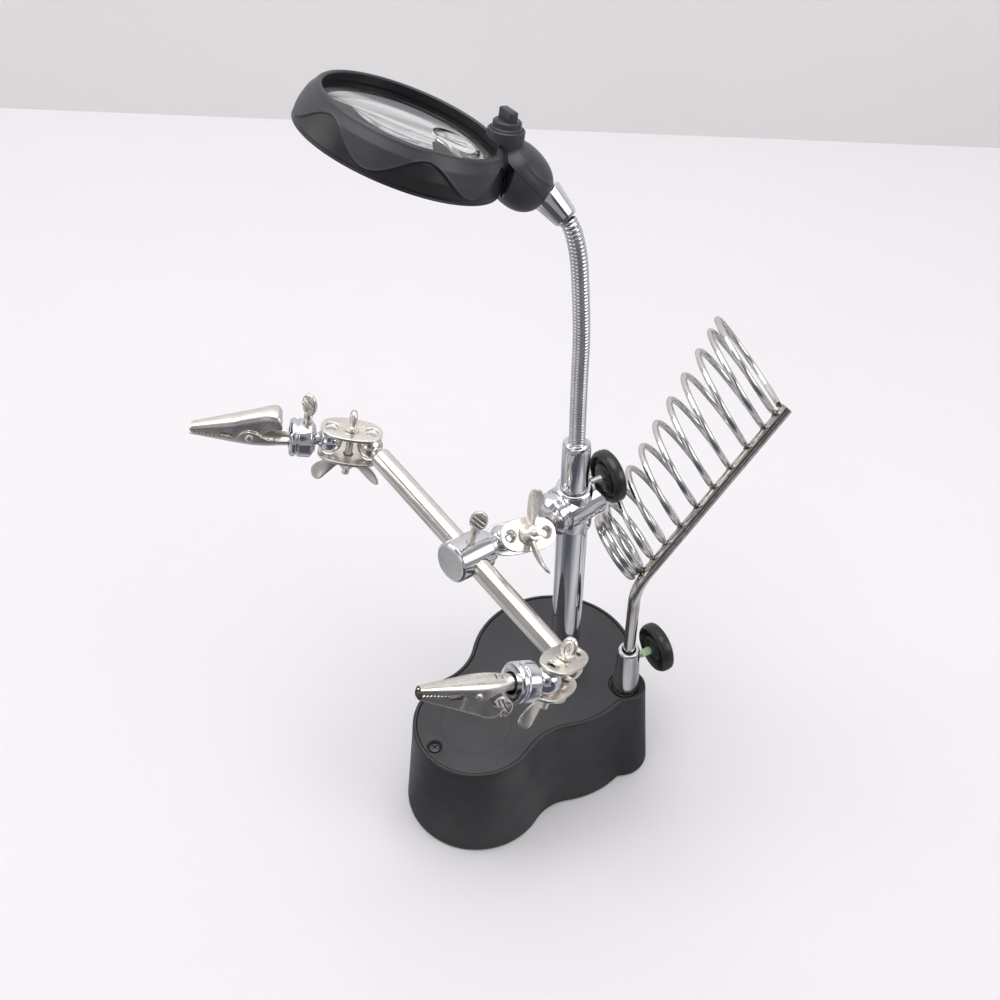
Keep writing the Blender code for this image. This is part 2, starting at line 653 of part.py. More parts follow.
def neck_curve(steps):
    """Evenly spaced points along a Catmull-Rom curve through NECK_PATH."""
    path = [REACH_DIR * reach + UP * z for reach, z in NECK_PATH]
    path = [path[0] * 2 - path[1]] + path + [path[-1] * 2 - path[-2]]
    fine = []
    for a, b, c, d in zip(path, path[1:], path[2:], path[3:]):
        for k in range(24):
            t = k / 24
            fine.append(0.5 * ((2 * b) + (c - a) * t + (2 * a - 5 * b + 4 * c - d) * t * t
                               + (3 * b - a - 3 * c + d) * t ** 3))
    fine.append(path[-2])
    lengths = [0.0]
    for a, b in zip(fine, fine[1:]):
        lengths.append(lengths[-1] + (b - a).length)
    points, j = [], 0
    for i in range(steps + 1):
        wanted = lengths[-1] * i / steps
        while j < len(lengths) - 2 and lengths[j + 1] < wanted:
            j += 1
        k = (wanted - lengths[j]) / (lengths[j + 1] - lengths[j])
        points.append(fine[j].lerp(fine[j + 1], k))
    return points


NECK = neck_curve(NECK_SEGMENTS * NECK_STEPS)
NECK_END = NECK[-1]


def gooseneck():
    lathe("neck_ferrule", frame((0, 0, NECK_PATH[0][1])),
          [(0, -0.2), (3.9, -0.2), (5.2, -0.9), (6.0, -2.8), (6.0, -31.0), (5.5, -31.8),
           (0, -31.8)], "chrome")
    for k in range(NECK_SEGMENTS):
        points = NECK[k * NECK_STEPS:(k + 1) * NECK_STEPS + 1]
        place = frame(points[0], NECK_SIDE, REACH_DIR)
        start = points[0] + (points[1] - points[0]).normalized() * NECK_GAP
        end = points[-1] + (points[-2] - points[-1]).normalized() * NECK_GAP
        to_local = place.inverted()
        local = [to_local @ (p * MM) / MM for p in [start] + points[2:-2:2] + [end]]
        wire(f"neck_segment_{k + 1}", place, local, NECK_R, "chrome", resolution=3)


# ------------------------------------------------------------------ magnifier
RING_CENTRE = Vector((-54.3, -38.3, 348.4))
RING_AXIS = unit(0.048, 0.475, 0.879)
HANDLE_CENTRE = Vector((-26.4, -5.4, 329.9))
TO_HANDLE = perp(HANDLE_CENTRE - RING_CENTRE, RING_AXIS)     # from the ring, in its plane
RING_ACROSS = RING_AXIS.cross(TO_HANDLE)
RING_PLACE = frame(RING_CENTRE, RING_AXIS, TO_HANDLE)
HEAD_PLACE = frame(NECK_END, (HANDLE_CENTRE - NECK_END).normalized())
# tilt pin: local X towards the handle, local Y along the ring's axis
PIN_PLACE = frame(RING_CENTRE + TO_HANDLE * 43.3 - RING_AXIS * 5.6, -RING_ACROSS, TO_HANDLE)
PIN_HOLE_R = 1.5
LENS_LIFT = 0.6
SPOT_X = 18.5            # spot lens from the ring's centre, towards the handle
LENS_FRAME = [           # radius, height
    (32.4, 7.4), (33.9, 7.4), (34.9, 6.6), (36.4, 3.4), (37.9, -1.2), (39.0, -5.8),
    (39.0, -6.6), (38.3, -7.4), (36.9, -7.4), (36.4, -5.2), (31.0, -4.4), (31.0, -0.9),
    (33.4, -0.9), (33.4, 3.0), (32.4, 4.2),
]
RING_ROOM = [            # the space cut out of the handle around the lens frame
    (0, 8.6), (36.2, 8.6), (36.2, 6.8), (37.6, 3.4), (39.1, -1.2), (40.1, -5.8),
    (40.1, -30.0), (0, -30.0),
]
# the handle's own axis, tilted to the lens and pointing to the ring
HANDLE_FORWARD = (TO_HANDLE * -0.908 + RING_AXIS * 0.419).normalized()
HANDLE_UP = (TO_HANDLE * 0.419 + RING_AXIS * 0.908).normalized()
HANDLE_PLACE = frame(RING_CENTRE + TO_HANDLE * 45.0 - RING_AXIS * 1.8,
                     HANDLE_UP, HANDLE_FORWARD)
SWITCH_PLACE = frame(RING_CENTRE + TO_HANDLE * 34.1 + RING_AXIS * 11.5,
                     (TO_HANDLE * -0.26 + RING_AXIS * 0.965).normalized(), RING_ACROSS)


def head_ferrule():
    lathe("head_ferrule", HEAD_PLACE,
          [(0, 13.0), (6.0, 13.0), (6.3, 12.4), (4.6, 1.4), (4.2, 0.6), (0, 0.6)], "chrome")


def lens_frame():
    """Ring with the tab that turns on the tilt pin, and room for the ears."""
    ring = lathe("lens_frame", RING_PLACE, LENS_FRAME, "soft_grip", 40)
    tab = arc(3.2, -100, 11) + [(-5.6, 3.6), (-5.6, -1.6)]
    join(ring, sheet("add_frame_tab", PIN_PLACE, [tab], -7.2, 7.2))
    cut(ring, rod("cut_frame_tab", PIN_PLACE, PIN_HOLE_R, -9, 9, segments=14))
    for tag, z0, z1 in (("p", 7.4, 11.6), ("m", -11.6, -7.4)):
        cut(ring, rod(f"cut_frame_ear_{tag}", PIN_PLACE, 4.0, z0, z1))


def lens(name, place, radius, edge, bulge, segments):
    """Lens with half thickness edge at its rim and edge + bulge at its centre."""
    top = [(radius * i / 3, edge + bulge * (1 - (i / 3) ** 2)) for i in range(4)]
    bottom = [(r, -z) for r, z in reversed(top)]
    return lathe(name, place, top + bottom, "lens", segments)


def lenses():
    main_place = RING_PLACE @ Matrix.Translation((0, 0, LENS_LIFT * MM))
    spot_place = RING_PLACE @ Matrix.Translation((SPOT_X * MM, 0, LENS_LIFT * MM))
    main = lens("main_lens", main_place, radius=33.0, edge=1.1, bulge=2.6, segments=32)
    cut(main, rod("cut_main_lens", spot_place, 9.3, -8, 8))
    lens("spot_lens", spot_place, radius=9.0, edge=2.0, bulge=2.2, segments=16)


def lamps():
    dome = [(0, 2.9), (1.3, 2.65), (2.1, 1.9), (2.4, 0.9), (2.4, 0.25), (0, 0.25)]
    for i, across in enumerate((9.5, -9.5)):
        centre = RING_CENTRE + TO_HANDLE * 31.5 + RING_ACROSS * across - RING_AXIS * 5.1
        lathe(f"lamp_{i + 1}", frame(centre, -RING_AXIS), dome, "led", 16)


def housing(name):
    """The whole rounded handle, before it is cut to one half."""
    def swell(c):
        return math.copysign(abs(c) ** 0.86, c)
    return ellipsoid(name, HANDLE_PLACE, 24, 14,
                     lambda x, y, z: (swell(x) * 13.0 + 1.0, swell(y) * 13.6, swell(z) * 11.0),
                     "soft_grip")


def cut_ring_room(half, name):
    cut(half, lathe("cut_ring_" + name, RING_PLACE, RING_ROOM, segments=72))


def cut_ferrule(half, name):
    cut(half, rod("cut_ferrule_" + name, HEAD_PLACE, 6.7, -6, 13.4, segments=24))


def handle_upper():
    name = "handle_upper"
    half = housing(name)
    cut(half, box("cut_half_" + name, HANDLE_PLACE, (-40, -30, -30), (40, 30, 2.15)))
    join(half, rod("add_switch_boss", SWITCH_PLACE, 6.8, -9.0, 2.0, segments=24))
    cut(half, rod("cut_switch", SWITCH_PLACE, 6.0, -0.6, 14, segments=24))
    cut_ring_room(half, name)
    cut_ferrule(half, name)


def handle_lower():
    """Lower half, with an ear at each end of the frame's tab."""
    name = "handle_lower"
    half = housing(name)
    cut_ring_room(half, name)
    cut(half, box("cut_half_" + name, HANDLE_PLACE, (-40, -30, 1.85), (40, 30, 40)))
    cut(half, rod("cut_tab_room", PIN_PLACE, 4.0, -7.5, 7.5))
    cut(half, box("cut_tab_slot", PIN_PLACE, (-7, -4.0, -7.5), (0, 4.0, 7.5)))
    cut(half, box("cut_lip", RING_PLACE, (0, -30, -30), (38.6, 30, 30)))
    cut_ferrule(half, name)
    ear = arc(3.4, 120, 10) + [(7.0, 0.0), (8.0, 2.2), (-0.6, 5.6)]
    for tag, z0, z1 in (("p", 7.7, 11.2), ("m", -11.2, -7.7)):
        join(half, sheet(f"add_ear_{tag}", PIN_PLACE, [ear], z0, z1))
    cut(half, rod("cut_ear_pin", PIN_PLACE, PIN_HOLE_R, -13, 13, segments=14))


def tilt_pin():
    lathe("tilt_pin", PIN_PLACE, [(0, 11.6), (1.2, 11.6), (1.2, -11.6), (0, -11.6)],
          "steel", 14)


def lamp_switch():
    switch = lathe("lamp_switch", SWITCH_PLACE,
                   [(0, 5.0), (4.7, 5.0), (5.2, 4.4), (5.2, 2.6), (5.7, 2.1), (5.7, -0.2),
                    (0, -0.2)], "soft_grip", 22)
    turned = SWITCH_PLACE @ Matrix.Rotation(math.radians(20), 4, 'Z')
    join(switch, box("add_switch_tab", turned, (-4.1, -1.7, 3), (4.1, 1.7, 8.8)))


# ------------------------------------------------------------------ iron rest
# both pieces are in the socket's frame: origin on its axis at foot height
REST_PLACE = frame((SMALL_X, SMALL_Y, 0))
REST_ROD_R = 2.7
REST_WIRE_R = 1.35
REST_DIR = unit(0.1114, 0.7678, 0.6310)
REST_LEN = 101.0
BEND = UP * 131.5
BEND_START = UP * 124.0
BEND_OUT = 9             # the bend's end, from BEND along REST_DIR
COIL_NORMAL = unit(0.396, 0.746, 0.522)              # loop plane's normal
COIL_IN = perp((-0.823, 0.054, 0.557), COIL_NORMAL)  # from the rod into the loop
COIL_ACROSS = COIL_NORMAL.cross(COIL_IN)
COIL_R0, COIL_R1 = 14.6, 22.8
COIL_GAP = 0.3           # between the wire and the rod
COIL_STEPS = 12          # points in a turn
# where each turn passes the rod, as distances from the bend
CONE_START = 6.5         # the turns grow from here
COIL_STATIONS = [
    CONE_START - 5.2, CONE_START - 2.6, CONE_START, 13.5, 22.0, 32.0, 43.0, 54.0, 65.0,
    76.5, 87.5, 95.0, 98.6,
]


def rest_rod():
    points = [UP * 52.0, UP * 95.0, BEND_START]
    bend_end = BEND + REST_DIR * BEND_OUT
    for i in range(1, 6):
        t = i / 6
        points.append(BEND_START * (1 - t) ** 2 + BEND * 2 * t * (1 - t) + bend_end * t * t)
    points += [BEND + REST_DIR * distance for distance in (BEND_OUT, 40, 70, REST_LEN)]
    wire("rest_rod", REST_PLACE, points, REST_ROD_R, "chrome")


def rest_coil():
    """Cone of loops, tight at both ends, beside the rod."""
    turns = len(COIL_STATIONS) - 1
    cone_length = COIL_STATIONS[-1] - CONE_START
    points = []
    for i in range(turns * COIL_STEPS + 1):
        k = min(i // COIL_STEPS, turns - 1)
        t = (i - k * COIL_STEPS) / COIL_STEPS
        along = COIL_STATIONS[k] + (COIL_STATIONS[k + 1] - COIL_STATIONS[k]) * t
        radius = COIL_R0 + (COIL_R1 - COIL_R0) * max(0.0, along - CONE_START) / cone_length
        angle = 2 * math.pi * t
        inward = REST_ROD_R + REST_WIRE_R + COIL_GAP + radius
        centre = BEND + REST_DIR * along + COIL_IN * inward
        points.append(centre - COIL_IN * radius * math.cos(angle)
                      + COIL_ACROSS * radius * math.sin(angle))
    wire("rest_coil", REST_PLACE, points, REST_WIRE_R, "chrome", resolution=1)


# -------------------------------------------------------------------- build
base_shell()
base_cover()
bottom_and_door()
base_contents()
feet()
post_tube()
rest_socket()
t_joint()
ball_stud()
clamp("centre", STUD_BALL, CENTRE_DIR, -perp(CENTRE_NUT, CENTRE_DIR), CENTRE_WING, REAR_RIGHT)
rod_block()
cross_rod()
side_arms()
gooseneck()
head_ferrule()
lens_frame()
lenses()
lamps()
handle_upper()
handle_lower()
tilt_pin()
lamp_switch()
rest_rod()
rest_coil()
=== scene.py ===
"""Helping-hands stand: a lobed base with a post, three clamps, a cross rod with two
spring clips, a lit magnifier on a gooseneck, and a coil rest for a soldering iron.

Shapes are in millimetres and scaled to metres as meshes are made. The post stands on
the Z axis, the base sits on z = 0 and its front lobe reaches along -Y. The clips reach
forwards, the magnifier hangs over -X and -Y, and the iron rest rises at +X, +Y.
"""
import json
import math
from math import cos, pi, radians, sin

import bmesh
import bpy
import numpy as np
from mathutils import Matrix, Vector

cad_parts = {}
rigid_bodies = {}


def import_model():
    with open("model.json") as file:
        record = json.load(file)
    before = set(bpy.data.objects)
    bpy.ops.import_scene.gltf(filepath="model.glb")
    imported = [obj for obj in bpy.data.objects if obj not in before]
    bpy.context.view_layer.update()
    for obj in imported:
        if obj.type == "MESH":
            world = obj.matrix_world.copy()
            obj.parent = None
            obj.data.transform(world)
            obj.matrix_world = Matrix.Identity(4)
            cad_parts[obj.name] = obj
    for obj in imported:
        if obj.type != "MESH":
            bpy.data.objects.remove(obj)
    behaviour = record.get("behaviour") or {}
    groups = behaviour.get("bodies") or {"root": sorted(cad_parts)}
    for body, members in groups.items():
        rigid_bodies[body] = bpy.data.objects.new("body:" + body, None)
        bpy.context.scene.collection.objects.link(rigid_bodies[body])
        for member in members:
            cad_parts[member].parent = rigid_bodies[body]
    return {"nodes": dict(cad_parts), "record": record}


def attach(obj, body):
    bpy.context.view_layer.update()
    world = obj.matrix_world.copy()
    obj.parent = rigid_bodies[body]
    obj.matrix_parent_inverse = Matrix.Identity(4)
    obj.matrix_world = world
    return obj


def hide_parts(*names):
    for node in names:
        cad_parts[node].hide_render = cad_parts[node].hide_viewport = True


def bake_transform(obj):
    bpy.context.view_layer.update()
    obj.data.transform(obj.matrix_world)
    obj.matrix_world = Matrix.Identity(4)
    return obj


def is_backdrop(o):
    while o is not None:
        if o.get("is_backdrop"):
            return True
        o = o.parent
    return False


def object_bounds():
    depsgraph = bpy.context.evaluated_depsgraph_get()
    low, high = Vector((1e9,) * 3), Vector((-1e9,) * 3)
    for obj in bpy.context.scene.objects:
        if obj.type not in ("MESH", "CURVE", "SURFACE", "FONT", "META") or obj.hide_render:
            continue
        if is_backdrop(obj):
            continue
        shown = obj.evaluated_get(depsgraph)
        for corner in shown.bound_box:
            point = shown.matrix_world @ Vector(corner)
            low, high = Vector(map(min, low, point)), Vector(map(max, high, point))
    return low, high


for old in list(bpy.data.objects):
    bpy.data.objects.remove(old, do_unlink=True)

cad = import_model()
CAD_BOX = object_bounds()
RECORD = cad["record"]
BODY_OF = {node: body for body, nodes in RECORD["behaviour"]["bodies"].items() for node in nodes}
SCENE = bpy.context.scene
MM = 0.001

# ------------------------------------------------------- driving dimensions, mm
BASE_H = 58.5
FRONT_LOBE = ((-3.5, -55.2), 29.3)      # centre, radius
REAR_LOBE = ((-3.5, -3.5), 39.2)
SIDE_LOBE = ((30.5, 9.6), 9.7)
WAIST_FILLET, SIDE_FILLET = 26.0, 7.0
OUTLINE_STEP = 1.4
DRAFT = 4.2                             # how far the wall spreads towards the floor
LID_TOP = 58.2
POST_R, POST_TOP = 6.8, 174.0
T_Z, T_BALL = 170.0, 23.5               # T joint height, its ball's distance from the axis
ROD_R, BALL_R = 4.5, 5.5
LEFT_REACH, RIGHT_REACH = 67.4, 63.7    # rod centre to each end ball
PLATE_L, PLATE_W, PLATE_T, PLATE_GAP, BALL_PITCH = 26.0, 14.5, 1.5, 5.8, 17.0
SOCKET_R, SOCKET_NEAR, SOCKET_FAR = 8.1, 6.0, 17.2
NECK_R, NECK_PITCH, NECK_PARTS, NECK_STEPS = 3.4, 1.55, 5, 1080
REST_ROD_R, REST_WIRE_R, REST_LEN = 2.7, 1.35, 101.0


# ----------------------------------------------------------------- shader nodes
def feed(tree, socket, value):
    """Links an output to the socket, or sets the socket's value."""
    if isinstance(value, bpy.types.NodeSocket):
        tree.links.new(value, socket)
    elif socket.type == 'RGBA':
        socket.default_value = (*value, 1)
    else:
        socket.default_value = value


def add_node(tree, kind, inputs=(), **settings):
    node = tree.nodes.new("ShaderNode" + kind)
    for key, value in settings.items():
        setattr(node, key, value)
    for key, value in dict(inputs).items():
        feed(tree, node.inputs[key], value)
    return node


def new_material(name):
    material = bpy.data.materials.new(name)
    material.use_nodes = True
    tree = material.node_tree
    tree.nodes.clear()
    out = add_node(tree, "OutputMaterial")
    shader = add_node(tree, "BsdfPrincipled")
    feed(tree, out.inputs[0], shader.outputs[0])
    return material, tree, shader, out


def coords(tree, scale=(1, 1, 1)):
    place = add_node(tree, "TexCoord").outputs["Object"]
    return add_node(tree, "Mapping", {"Scale": scale, "Vector": place}).outputs[0]


def noise(tree, vector, scale, detail, rough=0.55):
    inputs = {"Scale": scale, "Detail": detail, "Roughness": rough, "Vector": vector}
    return add_node(tree, "TexNoise", inputs).outputs["Fac"]


def ramp(tree, value, span, to=(0, 1), **settings):
    """Maps the span of a value onto another range."""
    inputs = {"From Min": span[0], "From Max": span[1], "To Min": to[0], "To Max": to[1],
              "Value": value}
    return add_node(tree, "MapRange", inputs, **settings).outputs[0]


def patches(tree, vector, scale, detail, span, to=(0, 1)):
    return ramp(tree, noise(tree, vector, scale, detail), span, to)


def mix(tree, factor, first, second):
    """Colour mix; sockets 6 and 7 are the Mix node's two colours."""
    inputs = {6: first, 7: second, 0: factor}
    return add_node(tree, "Mix", inputs, data_type='RGBA').outputs[2]


def bump(tree, shader, height, strength, distance):
    inputs = {"Strength": strength, "Distance": distance, "Height": height}
    feed(tree, shader.inputs["Normal"], add_node(tree, "Bump", inputs).outputs[0])


def dot(tree, vector, direction):
    node = add_node(tree, "VectorMath", {0: vector, 1: direction}, operation='DOT_PRODUCT')
    return node.outputs["Value"]


# -------------------------------------------------------------------- materials
def metal(name, tone, drift, rough, stretch=(1, 1, 1), scratch=0.03, stain=None):
    """Plated metal: faint tone drift, smudged roughness and fine polish lines."""
    material, tree, shader, _ = new_material(name)
    vector = coords(tree)
    shader.inputs["Metallic"].default_value = 1.0
    drifting = patches(tree, vector, scale=60, detail=4, span=(0.35, 0.65))
    colour = mix(tree, drifting, tone, drift)
    if stain:
        amount = add_node(tree, "Attribute", attribute_name="stain").outputs["Fac"]
        broken = patches(tree, vector, scale=420, detail=4, span=(0.3, 0.62), to=(0.25, 1.0))
        factor = add_node(tree, "Math", {0: amount, 1: broken}, operation='MULTIPLY')
        colour = mix(tree, factor.outputs[0], colour, stain)
    feed(tree, shader.inputs["Base Color"], colour)
    smudges = patches(tree, vector, scale=140, detail=5, span=(0.3, 0.7), to=rough)
    feed(tree, shader.inputs["Roughness"], smudges)
    lines = noise(tree, coords(tree, stretch), scale=900, detail=2)
    bump(tree, shader, lines, strength=scratch, distance=0.00002)
    return material


def plastic(name, tone, drift, rough, grain, depth, strength):
    """Moulded plastic: fine surface grain and slight drift of tone and sheen."""
    material, tree, shader, _ = new_material(name)
    vector = coords(tree)
    drifting = patches(tree, vector, scale=35, detail=5, span=(0.35, 0.7))
    feed(tree, shader.inputs["Base Color"], mix(tree, drifting, tone, drift))
    sheen = patches(tree, vector, scale=90, detail=6, span=(0.3, 0.7), to=rough)
    feed(tree, shader.inputs["Roughness"], sheen)
    pits = noise(tree, vector, scale=grain, detail=2, rough=0.6)
    bump(tree, shader, pits, strength=strength, distance=depth)
    return material


def glass(name, tint, ior=1.49, rough=0.0):
    """Clear plastic that lets shadow rays straight through."""
    material, tree, shader, out = new_material(name)
    feed(tree, shader.inputs["Base Color"], tint)
    shader.inputs["Transmission Weight"].default_value = 1.0
    shader.inputs["IOR"].default_value = ior
    haze = patches(tree, coords(tree), scale=80, detail=4, span=(0.3, 0.7),
                   to=(rough, rough + 0.02))
    feed(tree, shader.inputs["Roughness"], haze)
    shadow = add_node(tree, "LightPath").outputs["Is Shadow Ray"]
    clear = add_node(tree, "BsdfTransparent", {0: (0.93, 0.94, 0.95)})
    either = add_node(tree, "MixShader", {0: shadow, 1: shader.outputs[0], 2: clear.outputs[0]})
    feed(tree, out.inputs[0], either.outputs[0])
    return material


CHROME = metal("polished_chrome", tone=(0.80, 0.81, 0.83), drift=(0.74, 0.75, 0.78),
               rough=(0.045, 0.12))
CHROME_SOFT = metal("satin_chrome", tone=(0.74, 0.74, 0.75), drift=(0.66, 0.665, 0.68),
                    rough=(0.14, 0.24), stretch=(1, 1, 9), scratch=0.06)
NECK_CHROME = metal("gooseneck_chrome", tone=(0.70, 0.70, 0.71), drift=(0.60, 0.60, 0.61),
                    rough=(0.13, 0.22), scratch=0.05)
NICKEL = metal("bright_nickel", tone=(0.90, 0.86, 0.80), drift=(0.80, 0.755, 0.70),
               rough=(0.24, 0.34), scratch=0.05)
NICKEL_ROD = metal("drawn_nickel_rod", tone=(0.88, 0.845, 0.79), drift=(0.80, 0.76, 0.70),
                   rough=(0.12, 0.20), stretch=(6, 1, 1), scratch=0.08)
BRUSHED = metal("brushed_face", tone=(0.72, 0.71, 0.70), drift=(0.62, 0.61, 0.60),
                rough=(0.26, 0.36), stretch=(1, 12, 1), scratch=0.18)
REST_CHROME = metal("rest_chrome", tone=(0.77, 0.76, 0.75), drift=(0.69, 0.68, 0.67),
                    rough=(0.09, 0.17), scratch=0.05, stain=(0.20, 0.125, 0.07))
STEEL = metal("pin_steel", tone=(0.55, 0.54, 0.53), drift=(0.45, 0.44, 0.43),
              rough=(0.28, 0.40))
# blackened steel for the lid screws, also used as painted shade in the thumb screws' grooves
DARK_STEEL_AND_GROOVE_SHADE = metal("blackened_screw_and_groove_shade", tone=(0.10, 0.10, 0.105), drift=(0.06, 0.06, 0.065),
                   rough=(0.30, 0.42))
IRON = metal("cast_iron_rough", tone=(0.14, 0.135, 0.13), drift=(0.08, 0.078, 0.075),
             rough=(0.6, 0.8), scratch=0.5)
BASE_BLACK = plastic("black_abs_grained", tone=(0.017, 0.017, 0.020),
                     drift=(0.022, 0.022, 0.025), rough=(0.38, 0.50),
                     grain=2600, depth=0.00006, strength=0.30)
LID_BLACK = plastic("black_abs_cover", tone=(0.024, 0.023, 0.027), drift=(0.031, 0.030, 0.034),
                    rough=(0.38, 0.50), grain=2600, depth=0.00007, strength=0.34)
KNOB_BLACK = plastic("black_knob_satin", tone=(0.012, 0.012, 0.013),
                     drift=(0.018, 0.018, 0.020), rough=(0.26, 0.36),
                     grain=3000, depth=0.00003, strength=0.2)
GRIP = plastic("soft_touch_charcoal", tone=(0.026, 0.027, 0.033), drift=(0.034, 0.035, 0.042),
               rough=(0.36, 0.46), grain=3200, depth=0.00004, strength=0.22)
GRIP_DARK = plastic("frame_inner_black", tone=(0.006, 0.006, 0.008),
                    drift=(0.010, 0.010, 0.012), rough=(0.30, 0.40),
                    grain=3200, depth=0.00003, strength=0.2)
RUBBER = plastic("foot_rubber", tone=(0.018, 0.018, 0.018), drift=(0.028, 0.027, 0.026),
                 rough=(0.75, 0.92), grain=1800, depth=0.0001, strength=0.5)
THREAD_LOCK = plastic("thread_lock_green", tone=(0.36, 0.58, 0.30), drift=(0.50, 0.68, 0.44),
                      rough=(0.35, 0.6), grain=1500, depth=0.0001, strength=0.5)
CELL_SLEEVE = plastic("cell_sleeve", tone=(0.50, 0.36, 0.16), drift=(0.56, 0.42, 0.20),
                      rough=(0.25, 0.35), grain=800, depth=0.00002, strength=0.1)
LENS_CLEAR = glass("clear_acrylic_lens", tint=(0.985, 0.99, 0.985))
LED_CLEAR = glass("clear_led_dome", tint=(0.97, 0.97, 0.95), ior=1.5, rough=0.04)


# --------------------------------------------------------------- mesh machinery
def axes(origin, z=(0, 0, 1), x=None):
    """Frame at origin, in mm, with Z along z and X as near x as it can be."""
    z = Vector(z).normalized()
    if x is None:
        x = (1, 0, 0) if abs(z.x) < 0.8 else (0, 1, 0)
    x = Vector(x)
    x = (x - z * x.dot(z)).normalized()
    frame = Matrix((x, z.cross(x), z)).transposed().to_4x4()
    frame.translation = Vector(origin)
    return frame


def perp(vector, normal):
    """Unit vector along the part of vector square to normal."""
    normal = Vector(normal).normalized()
    vector = Vector(vector)
    return (vector - normal * vector.dot(normal)).normalized()


def placed(points, frame):
    matrix = np.array(frame)
    return points @ matrix[:3, :3].T + matrix[:3, 3]


def around(count):
    return np.arange(count) * 2 * pi / count


def boxy(value, power):
    """Signed power: squares off the sines and cosines of a round."""
    return np.sign(value) * np.abs(value) ** power


def bezier(a, b, c, t):
    return a * (1 - t) ** 2 + b * 2 * t * (1 - t) + c * t * t


def blur(rows, times):
    """Smooths a list of rows, keeping both ends."""
    for _ in range(times):
        rows[1:-1] = (rows[:-2] + 2 * rows[1:-1] + rows[2:]) / 4


def shade(mesh, sharp=32):
    mesh.shade_smooth()
    if sharp:
        mesh.set_sharp_from_angle(angle=radians(sharp))


def make(name, verts, faces, mat, frame=None, sharp=32):
    """Mesh object placed in the world from mm vertices in a frame."""
    mesh = bpy.data.meshes.new(name)
    verts = np.asarray(verts, float).reshape(-1, 3)
    if frame is not None:
        verts = placed(verts, frame)
    mesh.from_pydata((verts * MM).tolist(), [], [list(map(int, face)) for face in faces])
    bm = bmesh.new()
    bm.from_mesh(mesh)
    bmesh.ops.remove_doubles(bm, verts=bm.verts, dist=1e-7)
    bmesh.ops.dissolve_degenerate(bm, edges=bm.edges, dist=1e-8)
    bmesh.ops.recalc_face_normals(bm, faces=bm.faces)
    bm.to_mesh(mesh)
    bm.free()
    shade(mesh, sharp)
    if mat:
        mesh.materials.append(mat)
    ob = bpy.data.objects.new(name, mesh)
    SCENE.collection.objects.link(ob)
    return ob


def surface(name, points, mat, frame=None, wrap=False, sharp=32):
    """Quads over rows of closed loops; wrap joins the last row to the first."""
    rows, cols = points.shape[:2]
    faces = []
    for i in range(rows if wrap else rows - 1):
        a, b = i * cols, (i + 1) % rows * cols
        for c in range(cols):
            d = (c + 1) % cols
            faces.append((a + c, a + d, b + d, b + c))
    return make(name, points, faces, mat, frame, sharp)


def rounded(profile, radius=0.4, steps=3):
    """Rounds a profile's corners; a point's third item sets that corner's radius."""
    points = []
    for i, entry in enumerate(profile):
        size = entry[2] if len(entry) > 2 else radius
        corner = np.array(entry[:2], float)
        if i in (0, len(profile) - 1) or size <= 0:
            points.append(tuple(corner))
            continue
        back = np.array(profile[i - 1][:2], float) - corner
        ahead = np.array(profile[i + 1][:2], float) - corner
        back_len, ahead_len = np.linalg.norm(back), np.linalg.norm(ahead)
        if min(back_len, ahead_len) < 1e-6:
            continue
        back, ahead = back / back_len, ahead / ahead_len
        angle = math.acos(float(np.clip(back @ ahead, -1, 1)))
        if angle > radians(172):
            points.append(tuple(corner))
            continue
        cut = min(size / math.tan(angle / 2), 0.45 * back_len, 0.45 * ahead_len)
        start, end = corner + back * cut, corner + ahead * cut
        points += [tuple(bezier(start, corner, end, s / steps)) for s in range(steps + 1)]
    return points


def lathe(name, frame, profile, mat, seg=72, ring=False, corner=0.35, sharp=32, warp=None):
    """Turns a (radius, height) profile about the frame's Z; ring closes the profile."""
    angle = around(seg)
    r, z = np.array(rounded(profile, corner)).T[:, :, None]
    points = np.stack([r * np.cos(angle), r * np.sin(angle), z + 0 * angle], -1)
    if warp:
        points = warp(points, angle)
    return surface(name, points, mat, frame, ring, sharp)


def sweep(name, points, radius, mat, seg=20, sharp=40, up=None, cap=True):
    """Tube along world points with one or many radii and softly domed ends when cap."""
    points = np.asarray(points, float)
    radii = np.zeros(len(points)) + radius
    tangents = np.gradient(points, axis=0)
    tangents /= np.linalg.norm(tangents, axis=1)[:, None]
    if up is None:
        up = [0, 0, 1] if abs(tangents[0][2]) < 0.8 else [1, 0, 0]
    up = np.array(up, float)
    ups = []
    for tangent in tangents:
        up = up - tangent * (up @ tangent)
        up /= np.linalg.norm(up)
        ups.append(up.copy())
    angle = around(seg)

    def loop(i, size=1.0, way=0):
        push = way * radii[i] * 0.12 * cos(math.asin(size))
        across = np.cross(tangents[i], ups[i])
        rim = np.outer(np.cos(angle), ups[i]) + np.outer(np.sin(angle), across)
        return points[i] + tangents[i] * push + size * radii[i] * rim

    rows = [loop(i) for i in range(len(points))]
    if cap:
        rows = ([loop(0, size, -1) for size in (0.0, 0.5, 0.85)] + rows
                + [loop(-1, size, 1) for size in (0.85, 0.5, 0.0)])
    return surface(name, np.array(rows), mat, sharp=sharp)


def evaluated_mesh(ob):
    bpy.context.view_layer.update()
    return bpy.data.meshes.new_from_object(
        ob.evaluated_get(bpy.context.evaluated_depsgraph_get()))


def apply_modifiers(ob, sharp=32):
    mesh = evaluated_mesh(ob)
    ob.modifiers.clear()
    ob.data = mesh
    shade(mesh, sharp)


